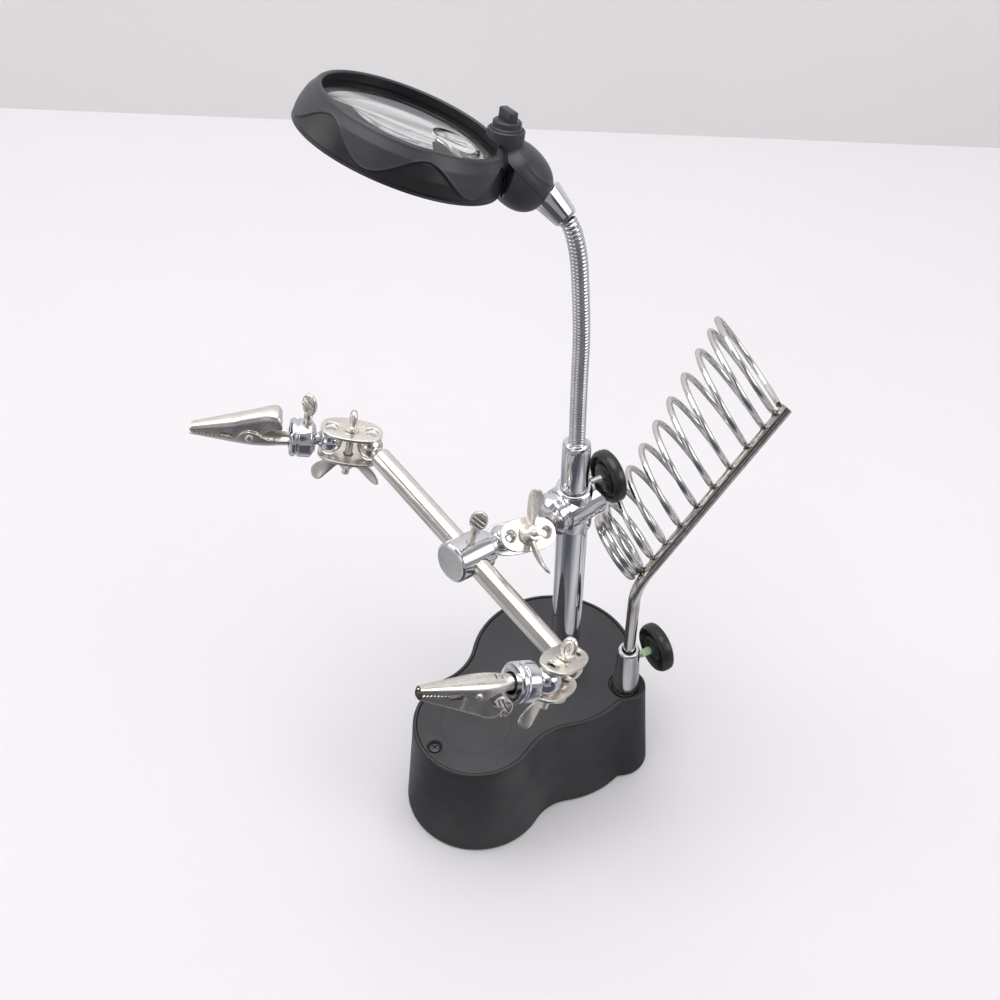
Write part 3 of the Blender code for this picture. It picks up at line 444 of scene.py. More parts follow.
def sheet(name, frame, loops, bottom, top, mat, edge=0.25, steps=3):
    """Flat plate with rounded edges; the first loop is the outside, the rest holes."""
    curve = bpy.data.curves.new(name, 'CURVE')
    curve.dimensions = '2D'
    curve.fill_mode = 'BOTH'
    curve.extrude = (top - bottom) / 2 - edge
    curve.bevel_depth = edge
    curve.bevel_resolution = steps
    curve.offset = -edge
    for loop in loops:
        spline = curve.splines.new('POLY')
        spline.points.add(len(loop) - 1)
        for point, (x, y) in zip(spline.points, loop):
            point.co = (x, y, 0, 1)
        spline.use_cyclic_u = True
    holder = bpy.data.objects.new(name + "_curve", curve)
    SCENE.collection.objects.link(holder)
    mesh = evaluated_mesh(holder)
    bpy.data.objects.remove(holder, do_unlink=True)
    verts = np.array([v.co for v in mesh.vertices]) + np.array([0, 0, (bottom + top) / 2])
    faces = [list(face.vertices) for face in mesh.polygons]
    bpy.data.meshes.remove(mesh)
    return make(name, verts, faces, mat, frame, 40)


def boolean(ob, *cutters, op='DIFFERENCE'):
    for cutter in cutters:
        modifier = ob.modifiers.new("boolean", 'BOOLEAN')
        modifier.operation = op
        modifier.solver = 'EXACT'
        modifier.object = cutter
    apply_modifiers(ob)
    for cutter in cutters:
        bpy.data.objects.remove(cutter, do_unlink=True)


def join(name, parts):
    """One object from several, with their materials kept."""
    verts, faces, mats, indices = [], [], [], []
    for part in parts:
        slots = []
        for mat in part.data.materials:
            if mat not in mats:
                mats.append(mat)
            slots.append(mats.index(mat))
        first = len(verts)
        verts += [tuple(v.co) for v in part.data.vertices]
        for face in part.data.polygons:
            faces.append([first + i for i in face.vertices])
            indices.append(slots[face.material_index] if slots else 0)
    mesh = bpy.data.meshes.new(name)
    mesh.from_pydata(verts, [], faces)
    for mat in mats:
        mesh.materials.append(mat)
    mesh.polygons.foreach_set("material_index", indices)
    shade(mesh)
    for part in parts:
        bpy.data.objects.remove(part, do_unlink=True)
    ob = bpy.data.objects.new(name, mesh)
    SCENE.collection.objects.link(ob)
    return ob


def seat(ob, node, extra=False):
    """ob stands for the CAD node, unless extra, and moves with the node's body."""
    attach(ob, BODY_OF[node])
    if not extra:
        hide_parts(node)


def cylinder(frame, radius, bottom, top, seg=48):
    """Plain cylinder for cutting."""
    profile = [(0, top), (radius, top), (radius, bottom), (0, bottom)]
    return lathe("cylinder", frame, profile, None, seg, corner=0)


def box(frame, low, high, mat=None, bevel=0.0):
    xs, ys, zs = zip(low, high)
    verts = [(x, y, z) for x in xs for y in ys for z in zs]
    faces = [(0, 1, 3, 2), (4, 6, 7, 5), (0, 4, 5, 1), (2, 3, 7, 6), (0, 2, 6, 4), (1, 5, 7, 3)]
    ob = make("box", verts, faces, mat, frame, 30)
    if bevel:
        modifier = ob.modifiers.new("bevel", 'BEVEL')
        modifier.width = bevel * MM
        modifier.segments = 3
        apply_modifiers(ob, 40)
    return ob


def circle(radius, count=48, centre=(0, 0)):
    return [(centre[0] + radius * cos(a), centre[1] + radius * sin(a)) for a in around(count)]


def arc(radius, start, end):
    """Points every ten degrees between two angles in degrees."""
    return [(radius * cos(radians(a)), radius * sin(radians(a)))
            for a in range(start, end + 1, 10)]


def rectangle(x0, y0, x1, y1, inset=0.0):
    x0, y0, x1, y1 = x0 + inset, y0 + inset, x1 - inset, y1 - inset
    return [(x0, y0), (x1, y0), (x1, y1), (x0, y1)]


def threaded(bottom, top, radius, pitch=0.7, depth=0.22):
    """Profile of a threaded shank from top down to bottom."""
    points, z = [], top
    while z - pitch > bottom:
        points += [(radius, z, 0.05), (radius - depth, z - pitch / 2, 0.05)]
        z -= pitch
    return points + [(radius, bottom + 0.2, 0), (radius - 0.3, bottom, 0)]


def ball_above(neck_r, z=0.0, steps=18):
    """Ball profile about height z, from its top down to the neck below it."""
    sweep_angle = pi - math.asin(neck_r / BALL_R)
    angles = [sweep_angle * i / steps for i in range(steps + 1)]
    return [(BALL_R * sin(a), BALL_R * cos(a) + z, 0) for a in angles]


def ball_below(neck_r, z=0.0):
    """The same ball turned over: from the neck above it down to its foot."""
    return [(r, z - height, 0) for r, height, _ in reversed(ball_above(neck_r))]


# -------------------------------------------------------------------- base body
def tangent_circle(first, second, radius, side):
    """Centre of the circle touching two lobes from outside, on one side of their line."""
    (c1, r1), (c2, r2) = first, second
    gap = math.hypot(c2[0] - c1[0], c2[1] - c1[1])
    a, b = r1 + radius, r2 + radius
    along = (gap * gap + a * a - b * b) / (2 * gap)
    off = math.sqrt(a * a - along * along) * side
    ux, uy = (c2[0] - c1[0]) / gap, (c2[1] - c1[1]) / gap
    return (c1[0] + ux * along - uy * off, c1[1] + uy * along + ux * off)


def bearing(start, end):
    return math.atan2(end[1] - start[1], end[0] - start[0])


def outline(offset=0.0):
    """Plan of the base: three lobes joined by hollow fillets, grown by offset."""
    def hollow(first, second, radius, side):
        return (tangent_circle(first, second, radius, side), radius, -1)
    circles = [                         # centre, radius, way round
        (*FRONT_LOBE, 1), hollow(FRONT_LOBE, REAR_LOBE, WAIST_FILLET, -1),
        (*REAR_LOBE, 1), hollow(REAR_LOBE, SIDE_LOBE, SIDE_FILLET, -1),
        (*SIDE_LOBE, 1), hollow(REAR_LOBE, SIDE_LOBE, SIDE_FILLET, 1),
        (*REAR_LOBE, 1), hollow(FRONT_LOBE, REAR_LOBE, WAIST_FILLET, 1),
    ]
    points = []
    for i, (centre, radius, way) in enumerate(circles):
        start = bearing(centre, circles[i - 1][0])
        end = bearing(centre, circles[(i + 1) % len(circles)][0])
        while way * (end - start) < 0:
            end += way * 2 * pi
        steps = max(3, round(abs(end - start) * radius / OUTLINE_STEP))
        r = radius + way * offset
        for k in range(steps):
            a = start + (end - start) * k / steps
            points.append((centre[0] + r * cos(a), centre[1] + r * sin(a)))
    return points


WORLD = Matrix.Identity(4)
# offset from the plan, height, corner radius: over the rim, down outside, up inside
wall = [(-1.6, BASE_H, 0.2), (-0.7, BASE_H + 0.02, 0.5), (0.0, BASE_H - 0.7, 0.7)]
wall += [(DRAFT * (1 - (z - 0.8) / 57.0) ** 1.05, z, 0) for z in np.linspace(52, 3.0, 14)]
wall += [(DRAFT, 0.8, 0.6), (DRAFT - 2.2, 0.8, 0.3), (-3.6, 52.4, 0), (-3.6, 55.4, 0),
         (-1.6, 55.4, 0)]
wall_rows = np.array([[(x, y, z) for x, y in outline(offset)] for offset, z in rounded(wall)])
seat(surface("base_body", wall_rows, BASE_BLACK, wrap=True, sharp=34), "base_shell")

# ---------------------------------------------------------------- lid and screws
(FRONT_X, FRONT_Y), (SIDE_X, SIDE_Y) = FRONT_LOBE[0], SIDE_LOBE[0]
SCREWS = [(FRONT_X - 22.5, FRONT_Y + 4.0), (FRONT_X - 4.0, FRONT_Y - 22.5)]
SCREW_WELL = [(3.95, 57.95), (3.45, 57.9), (2.95, 56.7), (1.6, 56.5), (1.6, 55.9), (4.0, 55.9)]
SOCKET_WELL = [(8.5, 58.0), (7.9, 57.9), (7.6, 57.0), (6.55, 56.9), (6.55, 56.1), (8.6, 56.1)]
LID_RINGS = [((FRONT_X, FRONT_Y - 0.5), 16.4, 0.35, 0.10),  # centre, radius, half width, rise
             ((-22.5, -22.7), 5.4, 0.3, 0.09)]
LID_PIP = (22.4, -8.6)

loops = [outline(-1.95), circle(POST_R + 0.35, 64), circle(8.2, 64, SIDE_LOBE[0])]
loops += [circle(3.7, 40, centre) for centre in SCREWS]
lid = [sheet("base_lid", WORLD, loops, 55.7, LID_TOP, LID_BLACK, 0.3)]
for x, y in SCREWS:
    lid.append(lathe("well", axes((x, y, 0)), SCREW_WELL, LID_BLACK, 48, True, 0.15))
lid.append(lathe("socket_well", axes((SIDE_X, SIDE_Y, 0)), SOCKET_WELL, LID_BLACK, 64, True,
                 0.15))
for (x, y), r, half, rise in LID_RINGS:
    ridge = [(r + half, LID_TOP - 0.02), (r + half * 0.5, LID_TOP + rise),
             (r - half * 0.5, LID_TOP + rise), (r - half, LID_TOP - 0.02)]
    lid.append(lathe("lid_ring", axes((x, y, 0)), ridge, LID_BLACK, 96, True, 0.1))
lid.append(lathe("lid_pip", axes((*LID_PIP, 0)),
                 [(0, 58.45), (0.5, 58.42), (0.75, 58.15), (0, 58.15)],
                 LID_BLACK, 20, corner=0.15))
seat(join("base_lid", lid), "base_cover")

LID_SCREW = [(0, 57.75), (1.6, 57.75), (2.55, 57.35), (2.6, 57.1), (1.35, 56.65),
             (1.35, 50.5), (0, 50.5)]
for k, (x, y) in enumerate(SCREWS):
    frame = axes((x, y, 0), (0, 0, 1), (cos(0.5 + k), sin(0.5 + k), 0))
    screw = lathe(f"lid_screw_{k + 1}", frame, LID_SCREW, DARK_STEEL_AND_GROOVE_SHADE, 40, corner=0.25)
    boolean(screw,                      # the cross and its centre point
            box(frame, (-1.45, -0.28, 56.9), (1.45, 0.28, 58.5)),
            box(frame, (-0.28, -1.45, 56.9), (0.28, 1.45, 58.5)),
            lathe("point", frame, [(0, 58.6), (0.75, 58.6), (0.1, 56.6), (0, 56.6)], None, 24,
                  corner=0))
    seat(screw, f"cover_screw_{k + 1}")

# -------------------------------------------------------- post, rest cup, knobs
POST = [(POST_R - 0.5, POST_TOP), (POST_R, POST_TOP - 0.5), (POST_R, 55.2), (12.0, 55.2),
        (12.0, 50.4), (5.6, 50.4), (5.6, POST_TOP)]
seat(lathe("post", axes((0, 0, 0)), POST, CHROME, 128, True), "post_tube")

KNOB_AXIS = Vector((cos(radians(73)), sin(radians(73)), 0))
REST_KNOB = axes((SIDE_X, SIDE_Y, 78.0), KNOB_AXIS)
REST_CUP = [(3.35, 86.15, 0.3), (4.5, 86.15, 0.5), (5.05, 85.2, 0.5), (6.35, 59.4, 0.4),
            (6.35, 55.9, 0.2), (5.6, 55.5, 0.1), (5.6, 50.2), (3.1, 50.2), (3.1, 85.4, 0.2)]
rest_cup = lathe("rest_cup", axes((SIDE_X, SIDE_Y, 0)), REST_CUP, CHROME_SOFT, 96, True)
boolean(rest_cup, cylinder(REST_KNOB, 1.95, 2, 12, 32))
seat(rest_cup, "rest_socket")

KNOB = [(0, 4.3), (6.8, 4.3, 0.5), (7.4, 4.7, 0.4), (9.6, 4.7, 1.2), (11.5, 3.6, 1.2),
        (11.75, 1.6, 1.0), (11.6, -0.2, 0.9), (10.6, -1.7, 0.7), (9.9, -1.8, 0.5),
        (9.35, -1.2, 0.4), (8.8, 0.4, 0.5), (7.6, 0.6, 0.5), (6.9, 0.2, 0.3),
        (6.5, -1.4, 0.5), (5.2, -2.1, 0.5), (1.9, -2.3, 0.2)]
LOCK_PATCH = [(0.14, 11.8), (0.3, 10.9), (0.2, 9.6), (0.32, 8.4), (0.12, 6.9),
              (-0.3, 6.9), (-0.3, 11.8)]        # radius beyond the shank, height


def knob(name, node, frame, height, shank_r, tip, lock=False):
    """Dished disc at a height on a threaded shank; lock adds a ring of thread lock."""
    disc = [(r, z + height, *corner) for r, z, *corner in KNOB]
    disc += [(shank_r - 0.1, height - 2.2, 0.1), (0, height - 2.2)]
    shank = [(0, height - 1.8), (shank_r, height - 1.8)]
    shank += threaded(tip, height - 2.0, shank_r) + [(0, tip)]
    parts = [lathe(name, frame, disc, KNOB_BLACK, 96),
             lathe("shank", frame, shank, NICKEL, 40, corner=0.05)]
    if lock:
        patch = [(shank_r + r, z) for r, z in LOCK_PATCH]
        parts.append(lathe("lock", frame, patch, THREAD_LOCK, 40, True, 0.2))
    seat(join(name, parts), node)


knob("rest_knob_disc", "rest_knob", REST_KNOB, height=14.2, shank_r=1.6, tip=3.3, lock=True)

# ---------------------------------------------------------------------- T joint
T_CENTRE = Vector((0, 0, T_Z))
STUD_DIR = Vector((-sin(radians(4.5)), cos(radians(4.5)), 0))
BARREL_DIR = Vector((cos(radians(82)), sin(radians(82)), 0))
UPPER_KNOB = axes(T_CENTRE + Vector((0, 0, 8.0)), KNOB_AXIS)
T_HEAD = [(0, 10.4), (6.9, 10.4, 0.5), (7.7, 9.6, 0.5), (8.3, 6.0, 0.6), (8.3, -11.6, 0.6),
          (7.6, -12.6, 0.5), (0, -12.6)]
T_BARREL = [(0, 11.3), (8.5, 11.3, 0.7), (9.6, 10.3, 0.7), (9.6, -7.4, 0.3), (8.3, -8.0, 0.3),
            (8.3, -9.5, 0.3), (9.4, -10.1, 0.4), (9.4, -12.3, 1.0), (7.2, -14.6, 1.2),
            (4.4, -15.5, 0.5), (0, -15.6)]
t_head = lathe("t_head", axes(T_CENTRE), T_HEAD, CHROME, 96)
boolean(t_head, lathe("barrel", axes(T_CENTRE, BARREL_DIR), T_BARREL, None, 96), op='UNION')
boolean(t_head,                         # bores for post, neck, stud and knob
        cylinder(axes(T_CENTRE), POST_R + 0.12, -30, 4.6, 96),
        cylinder(axes(T_CENTRE), 6.1, 3, 20, 96),
        cylinder(axes(T_CENTRE, STUD_DIR), 3.05, -25, -5, 40),
        cylinder(UPPER_KNOB, 2.1, 4, 20, 32))
seat(t_head, "t_joint")
knob("upper_knob_disc", "upper_knob", UPPER_KNOB, height=15.4, shank_r=1.9, tip=7.3)

STUD_BALL = T_CENTRE - STUD_DIR * T_BALL
STUD = [(0, 16.2), (2.4, 16.2, 0.3), (2.8, 15.6, 0.2), (2.8, 9.4, 0.2), (2.45, 8.9, 0.2),
        (2.45, 7.6, 0.2), (2.75, 7.1, 0.2)]
seat(lathe("stud_ball", axes(STUD_BALL, STUD_DIR), STUD + ball_below(2.7), NICKEL), "ball_stud")

# ----------------------------------------------------------------------- clamps
WING_PATH = [(2.6, 2.4), (5.0, 2.9), (8.2, 4.4), (11.6, 7.0), (14.6, 10.0),
             (16.6, 12.6)]              # out from the bolt, along the bolt
WING_WIDTHS = [1.9, 2.1, 2.7, 3.2, 3.3, 2.6]
WING_THICK, WING_TWIST = 0.75, 50
PLATE_TOP = PLATE_GAP + PLATE_T
BOLT_R, BOLT_TIP = 1.62, -(PLATE_TOP + 9.5)
BOLT = [(0, PLATE_TOP + 1.6), (BOLT_R, PLATE_TOP + 1.6), (BOLT_R, -PLATE_TOP + 1.0, 0.1),
        *threaded(BOLT_TIP, -PLATE_TOP, BOLT_R), (0, BOLT_TIP)]
WASHER = [(2.9, PLATE_TOP + 0.85), (3.1, PLATE_TOP + 0.15), (1.5, PLATE_TOP + 0.15),
          (1.5, PLATE_TOP + 0.85)]
WING_NUT = [(1.7, PLATE_TOP + 5.3, 0.2), (3.0, PLATE_TOP + 5.3, 0.5),
            (4.0, PLATE_TOP + 2.6, 0.6), (4.75, PLATE_TOP + 0.8, 0.3),
            (4.75, PLATE_TOP + 0.3, 0.2), (1.7, PLATE_TOP + 0.3)]


def wing_blade(frame, spread):
    """Rounded slab along the wing path, turning and rounding off towards its tip."""
    path = np.array([(2.6 + (x - 2.6) * spread, y * (1.45 - 0.45 * spread))
                     for x, y in WING_PATH])
    t = np.linspace(0, 1, 26)
    knots = np.linspace(0, 1, len(path))
    line = np.stack([np.interp(t, knots, path[:, 0]), np.interp(t, knots, path[:, 1])], 1)
    blur(line, 3)
    width = np.interp(t, knots, WING_WIDTHS)
    width *= np.sqrt(np.clip(1 - np.clip((t - 0.86) / 0.145, 0, 1) ** 2, 0.02, 1))
    thick = np.interp(t, [0, 0.3, 1], [WING_THICK * 1.5, WING_THICK, WING_THICK * 0.75])
    thick *= np.sqrt(np.clip(1 - np.clip((t - 0.93) / 0.075, 0, 1) ** 2, 0.1, 1))
    tangent = np.gradient(line, axis=0)
    tangent /= np.linalg.norm(tangent, axis=1)[:, None]
    angle = around(28)
    rows = []
    for i in range(len(t)):
        across = boxy(np.cos(angle), 2 / 3.2) * width[i]
        through = boxy(np.sin(angle), 2 / 3.2) * thick[i]
        turn = radians(WING_TWIST) * t[i] ** 1.3
        u = across * cos(turn) - through * sin(turn)
        v = across * sin(turn) + through * cos(turn)
        rows.append(np.stack([line[i, 0] - tangent[i, 1] * u,
                              line[i, 1] + tangent[i, 0] * u, v], 1))
    ends = [np.repeat(row.mean(0)[None], 28, 0) for row in (rows[0], rows[-1])]
    return surface("wing", np.array([ends[0], *rows, ends[1]]), NICKEL, frame, sharp=0)


def clamp(prefix, ball, along, normal, wing, eye, spread=1.0):
    """Two plates over a pair of balls, drawn together by an eye bolt and a wing nut.

    The bolt lies along normal with its eye on that side; wing and eye give the
    directions the nut's wings and the bolt's frame turn to.
    """
    along, normal = Vector(along).normalized(), Vector(normal).normalized()
    wing, eye = perp(wing, normal), perp(eye, normal)
    middle = ball + along * (BALL_PITCH / 2)
    plate = [(PLATE_L / 2 * boxy(cos(a), 2 / 2.5) + BALL_PITCH / 2,
              PLATE_W / 2 * boxy(sin(a), 2 / 2.5)) for a in around(96)]
    holes = [circle(2.0, 32, (BALL_PITCH / 2, 0)), circle(2.6, 40),
             circle(2.6, 40, (BALL_PITCH, 0))]
    for side, bottom in (("a", PLATE_GAP), ("b", -PLATE_TOP)):
        seat(sheet(f"{prefix}_cheek_{side}", axes(ball, normal, along), [plate, *holes],
                   bottom, bottom + PLATE_T, NICKEL, 0.42, 4), f"{prefix}_plate_{side}")
    bolt_axes = axes(middle, normal, eye)
    angles = [2 * pi * i / 40 for i in range(41)]
    eye_line = np.array([(2.15 * sin(a), 0, PLATE_TOP + 5.0 + 3.5 * cos(a)) for a in angles])
    parts = [lathe("bolt", bolt_axes, BOLT, NICKEL, 40, corner=0.1),
             lathe("washer", bolt_axes, WASHER, NICKEL, 40, True, 0.2),
             sweep("eye", placed(eye_line, bolt_axes), 1.3, NICKEL, 24,
                   up=perp(normal.cross(eye), normal), cap=False)]
    seat(join(f"{prefix}_eye_bolt", parts), f"{prefix}_bolt")
    parts = [lathe("nut", axes(middle, -normal, wing), WING_NUT, NICKEL, 64, True)]
    for way in (1, -1):
        root = axes(middle - normal * PLATE_TOP, normal.cross(wing) * way, wing * way)
        parts.append(wing_blade(root, spread))
    seat(join(f"{prefix}_nut", parts), f"{prefix}_wing_nut")


CLAMP_DIR = Vector((-0.341, -0.895, 0.288)).normalized()
CLAMP_NORMAL = perp((0.662, -0.032, 0.743), CLAMP_DIR)
CROSSWISE = (0.70, 0.71, 0.01)
clamp("centre", STUD_BALL, CLAMP_DIR, -CLAMP_NORMAL, wing=(-0.5491, 0.4689, 0.6494),
      eye=CROSSWISE)

# ----------------------------------------------------------------- thumb screws
THUMB_X, THUMB_Y, THUMB_Z = 1.5, 3.7, 5.4       # half sizes of the head
THUMB_RISE = 6.4                                # head centre above the collar


def ball_grid(rows, cols):
    """Polar angles, azimuths and unit-sphere coordinates of a grid."""
    theta, phi = np.linspace(0, pi, rows)[:, None], around(cols)
    return (theta, phi, np.sin(theta) * np.cos(phi), np.sin(theta) * np.sin(phi),
            np.cos(theta) + 0 * phi)


def rib_wave(y, z):
    return np.cos((z * 0.88 + y * 0.48) * 2 * pi / 2.15)


def face_centres(ob, frame):
    """Face centres in mm along a frame's axes."""
    centres = np.array([face.center for face in ob.data.polygons]) / MM
    return placed(centres, np.linalg.inv(np.array(frame))).T


def thumb(name, node, origin, direction, face, tip, collar):
    """Thumb screw: oval head with slanting ribs pressed into both faces, their grooves painted
    dark as shade.
    """
    frame = axes(origin, direction, perp(face, direction))
    _, _, x, y, z = ball_grid(150, 120)
    x = boxy(x, 0.62)
    flat = (np.clip((np.abs(x) - 0.35) / 0.25, 0, 1)
            * np.clip((0.86 - np.sqrt(y ** 2 + z ** 2)) / 0.12, 0, 1))
    groove = np.clip(rib_wave(y * THUMB_Y, z * THUMB_Z) * 1.7 - 0.55, 0, 1)
    x = x * (1 - 0.55 * flat * groove)
    points = np.stack([x * THUMB_X, y * THUMB_Y, z * THUMB_Z + collar + THUMB_RISE], -1)
    head = surface("head", points, NICKEL, frame, sharp=0)
    # painted shade: the faces inside the grooves get the dark steel
    head.data.materials.append(DARK_STEEL_AND_GROOVE_SHADE)
    _, y, z = face_centres(head, frame)         # painted shade: the groove faces are dark
    z = z - collar - THUMB_RISE
    dark = (np.hypot(y / THUMB_Y, z / THUMB_Z) < 0.78) & (rib_wave(y, z) > 0.62)
    head.data.polygons.foreach_set("material_index", dark.astype(np.int32))
    shank = [(0, collar + 3.4), (1.2, collar + 3.4), (1.75, collar + 1.6, 0.4),
             (1.9, collar - 0.2, 0.3), (1.5, collar - 0.6, 0.1)]
    shank += threaded(tip, collar - 0.8, 1.5, pitch=0.75) + [(0, tip)]
    seat(join(name, [head, lathe("shank", frame, shank, NICKEL, 36, corner=0.1)]), node)


# ---------------------------------------------------------- block and cross rod
ROD_DIR = Vector((0.984, -0.098, -0.147)).normalized()
BLOCK_DIR = perp((-0.10, -0.972, 0.21), ROD_DIR)
BLOCK_BALL = STUD_BALL + CLAMP_DIR * BALL_PITCH
ROD_CENTRE = BLOCK_BALL + BLOCK_DIR * 18.9
BLOCK_SCREW_DIR = BLOCK_DIR.cross(ROD_DIR).normalized()
BLOCK_SCREW = ROD_CENTRE + BLOCK_DIR * 1.6
BLOCK = [(0, 28.6), (7.7, 28.6, 0.5), (8.6, 27.8, 0.5), (8.6, 11.6, 0.5), (7.8, 10.8, 0.4),
         (6.6, 10.8, 0.3), (6.6, 8.2, 0.4), (4.6, 6.6, 0.4), (2.6, 6.4, 0.3)]
BLOCK_FACE = [(0, 28.66), (6.9, 28.66, 0.05), (7.1, 28.5, 0.05), (0, 28.5)]

block_axes = axes(BLOCK_BALL, BLOCK_DIR)
block = lathe("rod_holder", block_axes, BLOCK + ball_below(2.6), CHROME, 96)
boolean(block, cylinder(axes(ROD_CENTRE, ROD_DIR), ROD_R + 0.3, -12, 12, 64),
        cylinder(axes(BLOCK_SCREW, BLOCK_SCREW_DIR), 1.75, 3, 12, 32))
block_face = lathe("face", block_axes, BLOCK_FACE, BRUSHED, 96, corner=0.05)
seat(join("rod_holder", [block, block_face]), "rod_block")
thumb("rod_thumb", "block_screw", BLOCK_SCREW, BLOCK_SCREW_DIR, face=(0.47, -0.60, 0.45),
      tip=ROD_R + 0.45, collar=15.5)

ROD_END = [(2.8, 6.2, 0.3), (4.0, 6.7, 0.4), (ROD_R, 7.6, 0.4)]    # radius, in from the ball
rod = ball_above(2.8, RIGHT_REACH) + [(r, RIGHT_REACH - z, c) for r, z, c in ROD_END]
rod += [(ROD_R, z, 0) for z in np.linspace(50, -50, 9)]
rod += [(r, z - LEFT_REACH, c) for r, z, c in reversed(ROD_END)] + ball_below(2.8, -LEFT_REACH)
seat(lathe("long_rod", axes(ROD_CENTRE, ROD_DIR), rod, NICKEL_ROD, 96), "cross_rod")

# ------------------------------------------------------------- side arms, clips
# stations along the clip: x, half width, depth, height of the centre, height of the lip
FIXED_JAW = [
    (-9.5, 3.5, 3.5, 0, 0.3), (-1.0, 3.5, 3.5, 0, 0.3), (3.0, 3.9, 3.6, 0, 0.4),
    (8.0, 4.8, 3.9, 0, 0.6), (12.0, 5.1, 4.0, 0, 2.6), (14.0, 5.1, 4.0, 0, 4.2),
    (17.0, 4.9, 3.9, 0, 4.8), (20.0, 4.6, 3.7, 0, 3.4), (22.0, 4.3, 3.5, 0, 0.4),
    (41.0, 1.7, 1.6, 0, 0.0)]
MOVING_JAW = [
    (3.4, 5.5, 1.6, 8.6, 7.6), (4.0, 5.6, 2.6, 9.7, 7.4), (5.2, 5.4, 3.5, 10.5, 7.2),
    (8.0, 4.9, 3.8, 10.3, 6.8), (10.2, 4.5, 3.8, 9.7, 4.6), (12.2, 4.2, 3.8, 9.0, 0.8),
    (14.0, 4.1, 3.8, 8.4, 0.1), (17.5, 4.0, 3.8, 7.3, 0.0), (21.0, 3.9, 3.6, 6.2, 1.0),
    (22.6, 4.1, 3.5, 5.7, 1.3), (30.0, 3.4, 3.0, 3.9, 1.0), (38.0, 2.6, 2.3, 2.1, 0.6),
    (40.6, 2.4, 2.1, 1.5, 0.5)]
JAW_T = 0.7
RIVET = (16.6, 1.6)                     # along the clip, up
TEETH_START, TEETH_END, TOOTH_PITCH = 26.5, 40.3, 1.5
RIVET_HALF = [(0.9, 5.7, 0.3), (1.7, 5.2, 0.2), (1.7, 4.95, 0.1)]
RIVET_PROFILE = [(0, 5.75), *RIVET_HALF, (1.15, 4.9), (1.15, -4.9),
                 *[(r, -z, c) for r, z, c in reversed(RIVET_HALF)], (0, -5.75)]
CUP = [(0, SOCKET_FAR), (4.55, SOCKET_FAR, 0.2), (5.2, SOCKET_FAR, 0.3),
       (7.4, SOCKET_FAR - 0.3, 0.5), (SOCKET_R, SOCKET_FAR - 1.2, 0.6),
       (SOCKET_R, SOCKET_FAR - 2.6, 0.3), (7.45, SOCKET_FAR - 3.0, 0.2),
       (7.45, SOCKET_FAR - 3.6, 0.2), (SOCKET_R, SOCKET_FAR - 4.0, 0.3),
       (SOCKET_R, SOCKET_NEAR + 2.2, 0.8), (5.4, SOCKET_NEAR + 0.2, 0.5),
       (2.6, SOCKET_NEAR, 0.3), *ball_below(2.6)]


def stations(table, xs):
    """The table's columns at each x, smoothed."""
    table = np.array(table)
    values = np.stack([np.interp(xs, table[:, 0], table[:, c]) for c in range(1, 5)], 1)
    blur(values, 9)
    return values


def trough(width, depth, centre, lip, power):
    """Section of a channel: the outside, then the inside."""
    def side(w, d):
        angles = [pi * (1 + i / 14) for i in range(15)]
        return [(-w, lip), *[(w * boxy(cos(a), power), centre + d * sin(a)) for a in angles],
                (w, lip)]
    edge = [(width - JAW_T * k, lip + JAW_T * 0.12) for k in (0.35, 0.65)]
    mirrored = [(-y, z) for y, z in reversed(edge)]
    return side(width, depth) + edge + side(width - JAW_T, depth - JAW_T)[::-1] + mirrored


def jaw(name, frame, table, origin=(0, 0), moving=False):
    """Toothed jaw lofted through a table's stations, measured from origin."""
    xs = np.arange(table[0][0], table[-1][0] + 0.01, 0.25)
    fixed_lips = stations(FIXED_JAW, xs)[:, 3]
    sections = []
    for x, fixed_lip, (width, depth, centre, lip) in zip(xs, fixed_lips, stations(table, xs)):
        toothed = TEETH_START < x < TEETH_END
        tooth = (1 - abs(2 * (((x - TEETH_START) / TOOTH_PITCH) % 1) - 1)) * 0.75
        if moving:                      # opens downwards, clear of the fixed jaw
            if x > 21.6:
                lip = max(lip, fixed_lip + 0.75)
            if toothed:
                lip += 0.55 - tooth * 0.75
            section = [(y, -z) for y, z in trough(width, depth, -centre, -lip, 0.62)]
        else:
            if toothed:
                lip += tooth - 0.25
            section = trough(width, depth, centre, lip, 0.84)
        sections.append([(x - origin[0], y, z - origin[1]) for y, z in section])
    return surface(name, np.array(sections), NICKEL, frame, sharp=38)


def torsion_spring(frame):
    """Coil across the clip about the rivet, with one straight leg."""
    turn = np.linspace(0, 4.5 * 2 * pi, 200)
    coil = np.stack([2.3 * np.cos(turn), np.linspace(-2.2, 2.2, 200), 2.3 * np.sin(turn)], 1)
    leg = [[-9.0, -2.2, 6.6], [-6.5, -2.2, 5.2], [-4.0, -2.2, 3.6], [-1.8, -2.2, 2.6]]
    return sweep("spring", placed(np.vstack([leg, coil[12:]]), frame), 0.42, STEEL, 10)


